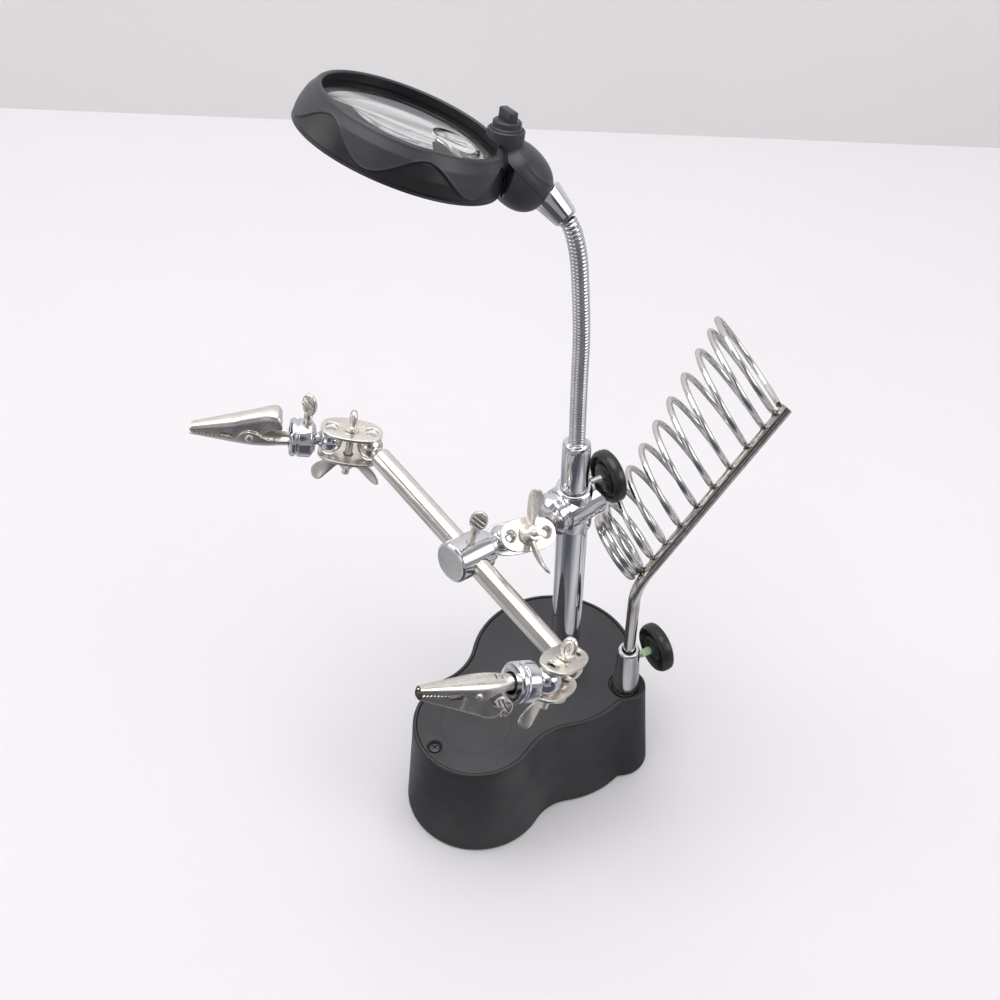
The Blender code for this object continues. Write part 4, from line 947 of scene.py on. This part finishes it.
def side_arm(prefix, ball, along, normal, out, flip, wing, eye, screw, screw_face, spread):
    """Clamp from a rod end along `along`, then a cup and a spring clip facing `out`."""
    along, out = Vector(along).normalized(), Vector(out).normalized()
    normal = perp(normal, along)
    up = perp(normal * flip, out)
    clamp(prefix, ball, along, normal, wing, eye, spread)
    far_ball = ball + along * BALL_PITCH
    cup_axes = axes(far_ball, out, up)
    cup = lathe(f"{prefix}_cup_body", cup_axes, CUP, CHROME, 80)
    boolean(cup, cylinder(cup_axes, 4.5, SOCKET_NEAR + 1.2, SOCKET_FAR + 2))
    screw = perp(screw, out)
    screw_foot = far_ball + out * 10.2
    boolean(cup, cylinder(axes(screw_foot, screw), 1.75, 3.0, 12, 32))
    seat(cup, f"{prefix}_socket")
    thumb(f"{prefix}_cup_thumb", f"{prefix}_socket_screw", screw_foot, screw, screw_face,
          tip=4.6, collar=11.6)

    mouth = far_ball + out * SOCKET_FAR
    clip_axes = axes(mouth, up, out)
    lower = jaw(f"{prefix}_lower_jaw", clip_axes, FIXED_JAW)
    for x in (3.0, 5.6, 8.2):           # slanting slots across the tail
        slot = (clip_axes @ Matrix.Translation((x, 0, -3.9))
                @ Matrix.Rotation(radians(12), 4, 'Z'))
        boolean(lower, box(slot, (-0.28, -1.5, -0.9), (0.28, 1.5, 0.9)))
    pivot = axes(mouth + out * RIVET[0] + perp(up, out) * RIVET[1], up, out)
    across = pivot @ Matrix.Rotation(radians(90), 4, 'X')
    rivet = lathe("rivet", across, RIVET_PROFILE, NICKEL, 36)
    seat(join(f"{prefix}_lower_jaw", [lower, rivet]), f"{prefix}_clip_body")

    upper = jaw(f"{prefix}_upper_jaw", pivot, MOVING_JAW, RIVET, moving=True)
    window = (pivot @ Matrix.Translation((9.3, 0, 0.0))
              @ Matrix.Rotation(radians(-8), 4, 'Y'))
    boolean(upper, box(window, (-2.5, -8, -1.3), (2.5, 8, 1.2)))
    seat(join(f"{prefix}_upper_jaw", [upper, torsion_spring(pivot)]), f"{prefix}_clip_jaw")


side_arm("left", ROD_CENTRE - ROD_DIR * LEFT_REACH, along=(-0.722, -0.670, 0.174),
         normal=(0, 0.172, 0.985), out=(-0.635, -0.751, 0.179), flip=1, wing=CROSSWISE,
         eye=(0.72, -0.50, 0), screw=(0.184, 0.353, 0.917), screw_face=(0.15, -0.75, 0.64),
         spread=0.78)
side_arm("right", ROD_CENTRE + ROD_DIR * RIGHT_REACH, along=(0.125, -0.879, 0.461),
         normal=(0.0, 0.42, 0.90), out=(-0.30, -0.851, 0.431), flip=-1,
         wing=(0.132, -0.843, 0.453), eye=(0.95, 0.05, 0), screw=(-0.236, -0.124, -0.96),
         screw_face=(0.30, -0.60, 0.74), spread=0.84)

# -------------------------------------------------------------------- gooseneck
NECK_CUP = [(0, -0.6), (3.5, -0.6, 0.2), (3.9, -0.3, 0.2), (4.3, -0.6, 0.2), (4.7, -1.2, 0.2),
            (5.1, -1.0, 0.2), (5.7, -2.2, 0.7), (6.0, -4.6, 1.0), (6.0, -30.8, 0.4),
            (5.5, -31.8, 0.2), (0, -31.8)]
NECK_DIR = Vector((-0.996, -0.088, 0)).normalized()
NECK_PATH = [(0, 208.0), (0.3, 222), (0.6, 240), (0.8, 262), (1.9, 279.5), (3.6, 297.0),
             (5.4, 306.0), (7.6, 311.9), (10.0, 315.1)]     # along NECK_DIR, height
seat(lathe("neck_cup", axes((0, 0, NECK_PATH[0][1])), NECK_CUP, CHROME, 112), "neck_ferrule")


def neck_curve():
    """Evenly spaced points on a Catmull-Rom curve through the path, and its length."""
    knots = [NECK_DIR * out + Vector((0, 0, z)) for out, z in NECK_PATH]
    knots = [knots[0] * 2 - knots[1]] + knots + [knots[-1] * 2 - knots[-2]]
    fine = []
    for a, b, c, d in zip(knots, knots[1:], knots[2:], knots[3:]):
        for t in (k / 24 for k in range(24)):
            fine.append(0.5 * ((2 * b) + (c - a) * t + (2 * a - 5 * b + 4 * c - d) * t * t
                               + (3 * b - a - 3 * c + d) * t ** 3))
    fine.append(knots[-2])
    run = [0.0]
    for a, b in zip(fine, fine[1:]):
        run.append(run[-1] + (b - a).length)
    points, j = [], 0
    for i in range(NECK_STEPS + 1):
        want = run[-1] * i / NECK_STEPS
        while j < len(run) - 2 and run[j + 1] < want:
            j += 1
        points.append(fine[j].lerp(fine[j + 1], (want - run[j]) / (run[j + 1] - run[j])))
    return points, run[-1]


neck_points, neck_length = neck_curve()
NECK_END = neck_points[-1]


def build_neck():
    """Ribbed tube in pieces cut midway between joints; all but the last stay fixed in place, and
    only the last moves with its body.
    """
    line = np.array([list(point) for point in neck_points])
    phase = (np.linspace(0, neck_length, NECK_STEPS + 1) / NECK_PITCH) % 1
    radii = NECK_R - 0.42 * np.abs(2 * phase - 1) ** 1.7
    per = NECK_STEPS // NECK_PARTS
    cuts = [0] + [int(per * (k + 0.5)) for k in range(NECK_PARTS)] + [NECK_STEPS]
    for k in range(NECK_PARTS + 1):
        piece = slice(cuts[k], cuts[k + 1] + 1)
        points, radius = line[piece], radii[piece]
        if k == 0:                      # the root dips into the neck cup
            points = np.vstack([points[0] - np.array([0, 0, 1.0]), points])
            radius = np.concatenate([[radius[0]], radius])
        ob = sweep(f"neck_piece_{k}", points, radius, NECK_CHROME, 40, sharp=0, up=[0, 1, 0],
                   cap=False)
        if k < NECK_PARTS:
            tangent = line[min(k * per + 40, NECK_STEPS)] - line[max(k * per - 40, 0)]
            tangent /= np.linalg.norm(tangent)
            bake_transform(ob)
            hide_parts(f"neck_segment_{k + 1}")
        else:
            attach(ob, "neck_5")


build_neck()

# ------------------------------------------------------- magnifier: cone, frame
LOBES, LOBE_PHASE = 6, -57.0
RING_CENTRE = Vector((-54.3, -38.3, 348.4))
RING_N = Vector((0.048, 0.475, 0.879)).normalized()
HANDLE_POINT = Vector((-26.4, -5.4, 329.9))
RING_X = perp(HANDLE_POINT - RING_CENTRE, RING_N)       # from the lens to the handle
RING_Y = RING_N.cross(RING_X)
RING = axes(RING_CENTRE, RING_N, RING_X)
PIN = axes(RING_CENTRE + RING_X * 43.3 - RING_N * 5.6, -RING_Y, RING_X)
CONE = axes(NECK_END, (HANDLE_POINT - NECK_END).normalized())
CONE_PROFILE = [(0, 13.0), (5.7, 13.0, 0.3), (6.35, 12.3, 0.4), (5.95, 9.8, 0.3),
                (4.75, 1.8, 0.4), (4.2, 0.6, 0.3), (0, 0.6)]
seat(lathe("head_cone", CONE, CONE_PROFILE, CHROME, 96), "head_ferrule")

RING_PROFILE = [
    (32.4, 7.0, 0.3), (32.8, 7.45, 0.3), (33.7, 7.5, 0.4), (34.4, 6.9, 0.3), (34.9, 5.9, 0.6),
    (36.6, 3.2, 3.0), (38.1, -1.4, 3.0), (39.1, -5.6, 1.0), (39.0, -6.9, 0.5),
    (38.3, -7.4, 0.4), (36.9, -7.4, 0.4), (36.4, -5.2, 0.3), (31.0, -4.4, 0.3),
    (31.0, -0.9, 0.3), (33.4, -0.9, 0.2), (33.4, 3.0, 0.4), (32.4, 4.2, 0.4)]


def skin_edge(angle):
    """Height of the smooth skin's lower edge round the frame."""
    return -0.5 - 4.5 * np.cos(LOBES * (angle - radians(LOBE_PHASE)))


def lens_frame():
    """Flared ring whose upper skin hangs in lobes, edged by a fine ridge, over a
    darker hollowed band."""
    profile = rounded(RING_PROFILE, 0.4, 5)
    fine = []                           # the outer wall is cut finely to carry the ridge
    for a, b in zip(profile, profile[1:] + profile[:1]):
        outer = a[0] > 34.2 and b[0] > 34.2 and a[1] > -7.3
        steps = max(1, int(math.dist(a, b) / 0.22)) if outer else 1
        fine += [(a[0] + (b[0] - a[0]) * k / steps, a[1] + (b[1] - a[1]) * k / steps)
                 for k in range(steps)]
    angle = around(640)
    r, z = np.array(fine).T[:, :, None] + 0 * angle
    above = z - skin_edge(angle)
    on_wall = np.clip((r - 34.9) / 0.7, 0, 1) * np.clip((z + 7.3) / 0.8, 0, 1)
    skin = 1 / (1 + np.exp(-above / 0.16))
    ridge = np.exp(-((above - 0.30) / 0.30) ** 2)
    r = r - on_wall * 0.62 * (1 - skin) + on_wall * 0.20 * ridge
    points = np.stack([r * np.cos(angle), r * np.sin(angle), z], -1)
    ring = surface("lens_ring", points, GRIP, RING, wrap=True, sharp=40)
    ring.data.materials.append(GRIP_DARK)
    tab = [arc(3.2, -100, 100) + [(-5.6, 3.6), (-5.6, -1.6)]]
    boolean(ring, sheet("tab", PIN, tab, -7.2, 7.2, GRIP, 0.3), op='UNION')
    boolean(ring, cylinder(PIN, 1.45, -9, 9, 32), cylinder(PIN, 4.0, 7.4, 11.6),
            cylinder(PIN, 4.0, -11.6, -7.4))
    x, y, z = face_centres(ring, RING)
    r = np.hypot(x, y)
    band = (r > 34.9) & (z < skin_edge(np.arctan2(y, x)) - 0.05)
    dark = ((r < 33.6) & (z < 6.9)) | band
    ring.data.polygons.foreach_set("material_index", dark.astype(np.int32))
    seat(ring, "lens_frame")


lens_frame()


# ------------------------------------------------------------- lenses and lamps
def lens(name, node, frame, radius, edge, bulge, hole=None):
    """Lens bulging on both faces; edge is half its rim thickness."""
    top = [(radius * i / 28, edge + bulge * (1 - (i / 28) ** 2), 0) for i in range(29)]
    bottom = [(r, -z, 0) for r, z, _ in reversed(top)]
    ob = lathe(name, frame, top + bottom, LENS_CLEAR, 128, sharp=35)
    if hole:
        boolean(ob, hole)
    seat(ob, node)


spot_axes = RING @ Matrix.Translation((18.5, 0, 0.6))
lens("big_lens", "main_lens", RING @ Matrix.Translation((0, 0, 0.6)), radius=33.0, edge=1.1,
     bulge=2.6, hole=cylinder(spot_axes, 9.2, -8, 8, 64))
lens("small_lens", "spot_lens", spot_axes, radius=9.0, edge=2.0, bulge=2.2)

LED = [(0, 2.9, 0), (0.8, 2.8, 0), (1.5, 2.45, 0), (2.0, 1.85, 0), (2.2, 1.3, 0),
       (2.25, 0.8, 0.1), (2.4, 0.75, 0.1), (2.4, 0.25), (0, 0.25)]
for i, y in enumerate((9.5, -9.5), 1):
    led_axes = axes(RING_CENTRE + RING_X * 31.5 + RING_Y * y - RING_N * 5.1, -RING_N)
    seat(lathe(f"led_{i}", led_axes, LED, LED_CLEAR, 48, corner=0.1), f"lamp_{i}")

# ------------------------------------------------------- magnifier: handle, pin
HANDLE = axes(RING_CENTRE + RING_X * 45.0 - RING_N * 1.8,
              (RING_X * 0.419 + RING_N * 0.908).normalized(),
              (RING_X * -0.908 + RING_N * 0.419).normalized())
SWITCH = axes(RING_CENTRE + RING_X * 34.1 + RING_N * 11.5,
              (RING_X * -0.26 + RING_N * 0.965).normalized(), RING_Y)
LENS_ROOM = [(0, 8.6), (36.2, 8.6), (36.2, 6.8), (37.6, 3.4), (39.1, -1.2), (40.1, -5.8),
             (40.1, -30.0), (0, -30.0)]
SWITCH_BOSS = [(0, 2.0), (6.3, 2.0, 0.3), (6.8, 1.5, 0.3), (6.8, -9.0), (0, -9.0)]


def handle_shell(name):
    """Whole squared-off egg of the handle with a soft raised line over it."""
    x, y, z = (boxy(c, 0.86) for c in ball_grid(90, 140)[2:])
    line = z - 0.36 - 0.22 * y - 0.30 * x ** 2
    swell = 1 + 0.022 * np.exp(-(line / 0.055) ** 2)
    points = np.stack([x * 13.0 * swell + 1.0, y * 13.6 * swell, z * 11.0 * swell], -1)
    return surface(name, points, GRIP, HANDLE, sharp=40)


def lens_room():
    return lathe("room", RING, LENS_ROOM, None, 160, corner=0)


def cone_hole():
    return cylinder(CONE, 6.6, -6, 13.3, 64)


def upper_handle():
    ob = handle_shell("handle_top")
    boolean(ob, box(HANDLE, (-40, -30, -30), (40, 30, 2.06)))
    boolean(ob, lathe("boss", SWITCH, SWITCH_BOSS, None, 96), op='UNION')
    boolean(ob, cylinder(SWITCH, 5.9, -0.5, 14, 64), lens_room(), cone_hole())
    seat(ob, "handle_upper")


def lower_handle():
    ob = handle_shell("handle_bottom")
    boolean(ob, lens_room(), cone_hole(), box(HANDLE, (-40, -30, 1.94), (40, 30, 40)),
            cylinder(PIN, 4.0, -7.5, 7.5), box(PIN, (-7, -4.0, -7.5), (0, 4.0, 7.5)),
            box(RING, (0, -30, -30), (38.6, 30, 30)))
    ear = [arc(3.4, 120, 300) + [(7.0, 0.0), (8.0, 2.2), (-0.6, 5.6)]]
    for bottom, top in ((7.7, 11.2), (-11.2, -7.7)):
        boolean(ob, sheet("ear", PIN, ear, bottom, top, GRIP, 0.3), op='UNION')
    boolean(ob, cylinder(PIN, 1.45, -13, 13, 32))
    seat(ob, "handle_lower")


upper_handle()
lower_handle()
PIN_HALF = [(1.0, 11.85, 0.3), (1.9, 11.45, 0.2), (1.9, 11.25, 0.1)]
PIN_PROFILE = [(0, 11.9), *PIN_HALF, (1.2, 11.2), (1.2, -11.2),
               *[(r, -z, c) for r, z, c in reversed(PIN_HALF)], (0, -11.9)]
seat(lathe("pivot_pin", PIN, PIN_PROFILE, STEEL, 40), "tilt_pin")


def ticks(points, angle):
    """Presses 24 shallow flutes into the dial's upper rim."""
    radius = np.sqrt(points[..., 0] ** 2 + points[..., 1] ** 2)
    rim = (np.clip((radius - 4.8) / 0.3, 0, 1)
           * np.clip((points[..., 2] - 2.4) / 0.5, 0, 1))
    points[..., :2] *= (1 - 0.035 * rim * (0.5 + 0.5 * np.cos(24 * angle)))[..., None]
    return points


DIAL = [(0, 5.0), (4.6, 5.0, 0.4), (5.2, 4.4, 0.4), (5.2, 2.7, 0.2), (5.65, 2.2, 0.3),
        (5.65, -0.2), (0, -0.2)]
dial = lathe("switch_dial", SWITCH, DIAL, GRIP, 144, warp=ticks)
boolean(dial, box(SWITCH @ Matrix.Rotation(radians(20), 4, 'Z'), (-4.1, -1.7, 3),
                  (4.1, 1.7, 8.8), GRIP, 0.7), op='UNION')
seat(dial, "lamp_switch")

# -------------------------------------------------------------------- iron rest
BEND = Vector((SIDE_X, SIDE_Y, 131.5))
REST_DIR = Vector((0.1114, 0.7678, 0.6310)).normalized()
COIL_N = Vector((0.396, 0.746, 0.522)).normalized()
COIL_Q = perp((-0.823, 0.054, 0.557), COIL_N)       # from the rod to the coil's centre
COIL_E = COIL_N.cross(COIL_Q)
COIL_R0, COIL_R1 = 14.6, 22.8                       # first and last turn
WELDS = [6.5, 13.5, 22.0, 32.0, 43.0, 54.0, 65.0, 76.5, 87.5, 95.0, 98.6]    # past the bend
weld_points = [np.array(BEND + REST_DIR * s + COIL_Q * REST_ROD_R) for s in WELDS]


def vertices_mm(ob):
    return np.array([v.co for v in ob.data.vertices]) / MM


def weld_glow(points, reach):
    """1 at a weld, fading over reach."""
    near = np.min([np.linalg.norm(points - weld, axis=1) for weld in weld_points], axis=0)
    return np.exp(-(near / reach) ** 2)


def set_stain(ob, values):
    layer = ob.data.attributes.new("stain", 'FLOAT', 'POINT')
    layer.data.foreach_set("value", np.clip(values, 0, 1).astype(np.float32))


def rest_rod():
    """Upright rod, bent over and running on under the coil."""
    points = [Vector((SIDE_X, SIDE_Y, z)) for z in np.linspace(52, 120, 60)]
    start, end = Vector((SIDE_X, SIDE_Y, 122.0)), BEND + REST_DIR * 10
    points += [bezier(start, BEND, end, i / 30) for i in range(31)]
    points += [BEND + REST_DIR * s for s in np.linspace(12, REST_LEN, 110)]
    ob = sweep("rest_arm", [list(p) for p in points], REST_ROD_R, REST_CHROME, 48)
    place = vertices_mm(ob)
    along = (place - np.array(BEND)) @ np.array(REST_DIR)
    inward = (place - np.array(BEND)) @ np.array(COIL_Q)
    height = place[:, 2]
    stain = weld_glow(place, 4.2)       # stained along the welds and below the bend
    stain = np.maximum(stain, 0.55 * (along > 1) * np.clip((inward + 1.4) / 2.4, 0, 1))
    stain = np.maximum(stain, 0.5 * np.exp(-((height - 118) / 5.0) ** 2) * (height < 131))
    set_stain(ob, stain)
    seat(ob, "rest_rod")


def rest_coil(per_turn=72):
    """Widening coil that touches the rod once a turn, at the welds."""
    touches = [WELDS[0] - 5.2, WELDS[0] - 2.6] + WELDS
    turns = len(touches) - 1
    points = []
    for i in range(turns * per_turn + 1):
        u = i / per_turn
        s = float(np.interp(u, np.arange(turns + 1), touches))
        grown = max(0.0, s - WELDS[0]) / (WELDS[-1] - WELDS[0])
        r = COIL_R0 + (COIL_R1 - COIL_R0) * grown
        angle = 2 * pi * (u - min(int(u), turns - 1))
        centre = BEND + REST_DIR * s + COIL_Q * (REST_ROD_R + REST_WIRE_R + r)
        points.append(list(centre - COIL_Q * r * cos(angle) + COIL_E * r * sin(angle)))
    points = np.array(points)
    blur(points, 4)
    ob = sweep("rest_spring", points, REST_WIRE_R, REST_CHROME, 20)
    set_stain(ob, weld_glow(vertices_mm(ob), 2.8))
    seat(ob, "rest_coil")


def rest_welds():
    theta, phi, x, y, z = ball_grid(20, 24)
    blobs = []
    for k, weld in enumerate(weld_points[:-1]):
        lump = 1 + 0.12 * np.sin(3 * theta + k) * np.cos(2 * phi + k * 1.7)
        points = np.stack([0.75 * lump * x, 1.45 * lump * y, 1.7 * lump * z], -1)
        blobs.append(surface("weld", points, REST_CHROME, axes(weld, REST_DIR, COIL_Q),
                             sharp=0))
    ob = join("rest_welds", blobs)
    set_stain(ob, np.full(len(ob.data.vertices), 0.8))
    seat(ob, "rest_rod", extra=True)


rest_rod()
rest_coil()
rest_welds()

# --------------------------------------------------- underside and inside parts
OPENING = (-31, -19.5, 21, 20.5)        # battery opening: x0, y0, x1, y1
seat(sheet("under_plate", WORLD, [outline(DRAFT - 3.0), rectangle(*OPENING)], 2.9, 4.9,
           BASE_BLACK), "bottom_plate")
door = [sheet("cell_door", WORLD, [rectangle(*OPENING, inset=0.4)], 2.9, 4.9, BASE_BLACK)]
door += [box(WORLD, (-26 + 3 * i, -4, 2.55), (-24.8 + 3 * i, 5, 3.2), BASE_BLACK, 0.2)
         for i in range(5)]
seat(join("cell_door", door), "battery_door")

FOOT = [(0, 2.6), (5.4, 2.6, 0.3), (5.5, 0.6, 0.4), (4.9, 0, 0.3), (3.4, 0.0, 0.2),
        (3.1, 0.25, 0.2), (0, 0.25)]
for i, (x, y) in enumerate(((FRONT_X, FRONT_Y - 18), (-36.5, 5.5), (27.0, 6.5)), 1):
    seat(lathe(f"foot_pad_{i}", axes((x, y, 0)), FOOT, RUBBER, 64), f"foot_{i}")

for node, mat in (("battery_1", CELL_SLEEVE), ("battery_2", CELL_SLEEVE),
                  ("battery_3", CELL_SLEEVE), ("ballast_weight", IRON)):
    slots = cad["nodes"][node].data.materials
    slots.clear()
    slots.append(mat)

# --------------------------------------------------------------- studio, metres
# the floor meets the wall on a line through these two points
CORNER_A, CORNER_B = Vector((-0.6574, 0.0997, 0)), Vector((-0.1192, 0.5784, 0))
WALL_DIR = (CORNER_B - CORNER_A).normalized()
BEHIND = Vector((-WALL_DIR.y, WALL_DIR.x, 0))       # away from the camera
WALL_SPARE, FLOOR_DEPTH, WALL_H, WALL_LEAN = 3.0, 4, 1.1, 0.05


def backdrop(name, tone, drift, rough, scale):
    material, tree, shader, out = new_material(name)
    vector = coords(tree)
    drifting = patches(tree, vector, scale=scale, detail=3, span=(0.35, 0.65))
    colour = mix(tree, drifting, tone, drift)
    feed(tree, shader.inputs["Base Color"], colour)
    sheen = patches(tree, vector, scale=scale * 3, detail=3, span=(0.3, 0.7),
                    to=(rough, rough + 0.1))
    feed(tree, shader.inputs["Roughness"], sheen)
    shader.inputs["Specular IOR Level"].default_value = 0.2
    return material, tree, shader, out, colour


def floor_material():
    """Pale floor with painted reflections: glossy rays see it patchy and darker than it is, and
    darker still to the front.
    """
    material, tree, shader, _, colour = backdrop(
        "pale_floor", tone=(0.765, 0.745, 0.768), drift=(0.78, 0.76, 0.783), rough=0.6, scale=3)
    # painted reflection: glossy rays see a darker, mottled floor in place of its own colour
    glossy = add_node(tree, "LightPath").outputs["Is Glossy Ray"]
    painted_reflection_mottle = ramp(tree, noise(tree, coords(tree), scale=9.0, detail=1.5), span=(0.42, 0.58))
    mirrored = mix(tree, painted_reflection_mottle, (0.24, 0.24, 0.255), (0.60, 0.59, 0.60))
    position = add_node(tree, "NewGeometry").outputs["Position"]
    forward = dot(tree, position, (0.30, -0.95, 0.0))
    sideways = dot(tree, position, (0.95, 0.30, 0.0))
    # painted reflection shade: to the front, except far to the left, glossy rays see the floor
    # near black
    dark = mix(tree, ramp(tree, sideways, span=(-0.13, -0.04)), mirrored, (0.070, 0.075, 0.090))
    mirrored = mix(tree, ramp(tree, forward, span=(0.07, 0.17)), mirrored, dark)
    feed(tree, shader.inputs["Base Color"], mix(tree, glossy, colour, mirrored))
    return material


def wall_material():
    """Pale wall, clear when seen from behind."""
    material, tree, shader, out, _ = backdrop(
        "pale_wall", tone=(0.73, 0.715, 0.72), drift=(0.76, 0.745, 0.75), rough=0.8, scale=2)
    facing = dot(tree, add_node(tree, "NewGeometry").outputs["Incoming"], tuple(BEHIND))
    from_behind = add_node(tree, "Math", {0: facing, 1: 0.0}, operation='GREATER_THAN')
    clear = add_node(tree, "BsdfTransparent")
    either = add_node(tree, "MixShader", {0: from_behind.outputs[0], 1: shader.outputs[0],
                                          2: clear.outputs[0]})
    feed(tree, out.inputs["Surface"], either.outputs[0])
    return material


def plane(name, corners, mat):
    mesh = bpy.data.meshes.new(name)
    mesh.from_pydata([tuple(corner) for corner in corners], [], [(0, 1, 2, 3)])
    mesh.materials.append(mat)
    ob = bpy.data.objects.new(name, mesh)
    SCENE.collection.objects.link(ob)
    ob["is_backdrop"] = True


left_end, right_end = CORNER_A - WALL_DIR * WALL_SPARE, CORNER_B + WALL_DIR * WALL_SPARE
towards = BEHIND * FLOOR_DEPTH
rise = Vector((0, 0, WALL_H)) + BEHIND * WALL_LEAN
plane("floor", [left_end, left_end - towards, right_end - towards, right_end], floor_material())
plane("wall", [left_end, right_end, right_end + rise, left_end + rise], wall_material())

# soft round patches of the room: direction, full inside and gone outside (degrees), colour
ROOM = [
    ((-0.2, 0.25, 1.0), 18, 46, (1.15, 1.15, 1.16)),        # ceiling panel
    ((-0.85, 0.25, 0.40), 14, 26, (1.5, 1.5, 1.5)),         # window, left
    ((0.75, 0.66, 0.35), 10, 20, (1.6, 1.6, 1.6)),          # window, right rear
    ((0.10, -0.95, 0.42), 9, 18, (1.2, 1.2, 1.22)),         # card by the front lobe
    ((0.47, -0.48, 0.55), 11, 22, (0.09, 0.09, 0.095)),     # the camera's side
    ((-0.75, -0.52, 0.25), 9, 20, (0.05, 0.05, 0.055)),     # dark patch, front left
    ((0.95, -0.05, 0.20), 8, 20, (0.07, 0.07, 0.075)),      # dark patch, right
]
ROOM_GREY, DIFFUSE_GREY = (0.34, 0.34, 0.355), (0.59, 0.59, 0.60)


def studio_world():
    """Patchy room for reflections, one even grey for diffuse rays."""
    world = bpy.data.worlds.new("studio")
    SCENE.world = world
    world.use_nodes = True
    tree = world.node_tree
    tree.nodes.clear()
    out = add_node(tree, "OutputWorld")
    background = add_node(tree, "Background")
    feed(tree, out.inputs[0], background.outputs[0])
    view = add_node(tree, "TexCoord").outputs["Generated"]
    colour = ROOM_GREY
    for direction, inner, outer, patch in ROOM:
        facing = dot(tree, view, Vector(direction).normalized())
        inside = ramp(tree, facing, span=(cos(radians(outer)), cos(radians(inner))),
                      interpolation_type='SMOOTHSTEP')
        colour = mix(tree, inside, colour, patch)
    diffuse = add_node(tree, "LightPath").outputs["Is Diffuse Ray"]
    feed(tree, background.inputs[0], mix(tree, diffuse, colour, DIFFUSE_GREY))


def area(name, place, target, size, power):
    light = bpy.data.lights.new(name, 'AREA')
    light.shape = 'RECTANGLE'
    light.size = light.size_y = size
    light.energy = power
    ob = bpy.data.objects.new(name, light)
    SCENE.collection.objects.link(ob)
    ob.location = place
    aim = Vector(target) - Vector(place)
    ob.rotation_euler = aim.to_track_quat('-Z', 'Y').to_euler()


studio_world()
area("top_soft", place=(-0.15, 0.05, 1.25), target=(0, 0, 0.1), size=1.1, power=8.7)
area("left_soft", place=(-0.9, -0.75, 0.75), target=(0, 0, 0.15), size=0.7, power=3.0)
area("right_soft", place=(1.0, 0.35, 0.8), target=(0, 0, 0.15), size=0.6, power=3)

CAMERA_PLACE = (0.297516, -0.345004, 0.6759)
CAMERA_DOWN, CAMERA_TURN, CAMERA_ROLL = radians(48.0), radians(44.7), radians(0.5)
camera = bpy.data.objects.new("camera", bpy.data.cameras.new("camera"))
SCENE.collection.objects.link(camera)
camera.matrix_world = (Matrix.Translation(CAMERA_PLACE) @ Matrix.Rotation(CAMERA_TURN, 4, 'Z')
                       @ Matrix.Rotation(pi / 2 - CAMERA_DOWN, 4, 'X')
                       @ Matrix.Rotation(CAMERA_ROLL, 4, 'Z'))
camera.data.sensor_width = 36.0
camera.data.lens = 57.6
camera.data.clip_start = 0.01
camera.data.clip_end = 20
SCENE.camera = camera
SCENE.view_settings.view_transform = 'Standard'


def plain(bounds):
    return [[float(x) for x in v] if hasattr(v, "__len__") else float(v) for v in bounds]


{"cad_box": plain(CAD_BOX), "visual_box": plain(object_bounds())}
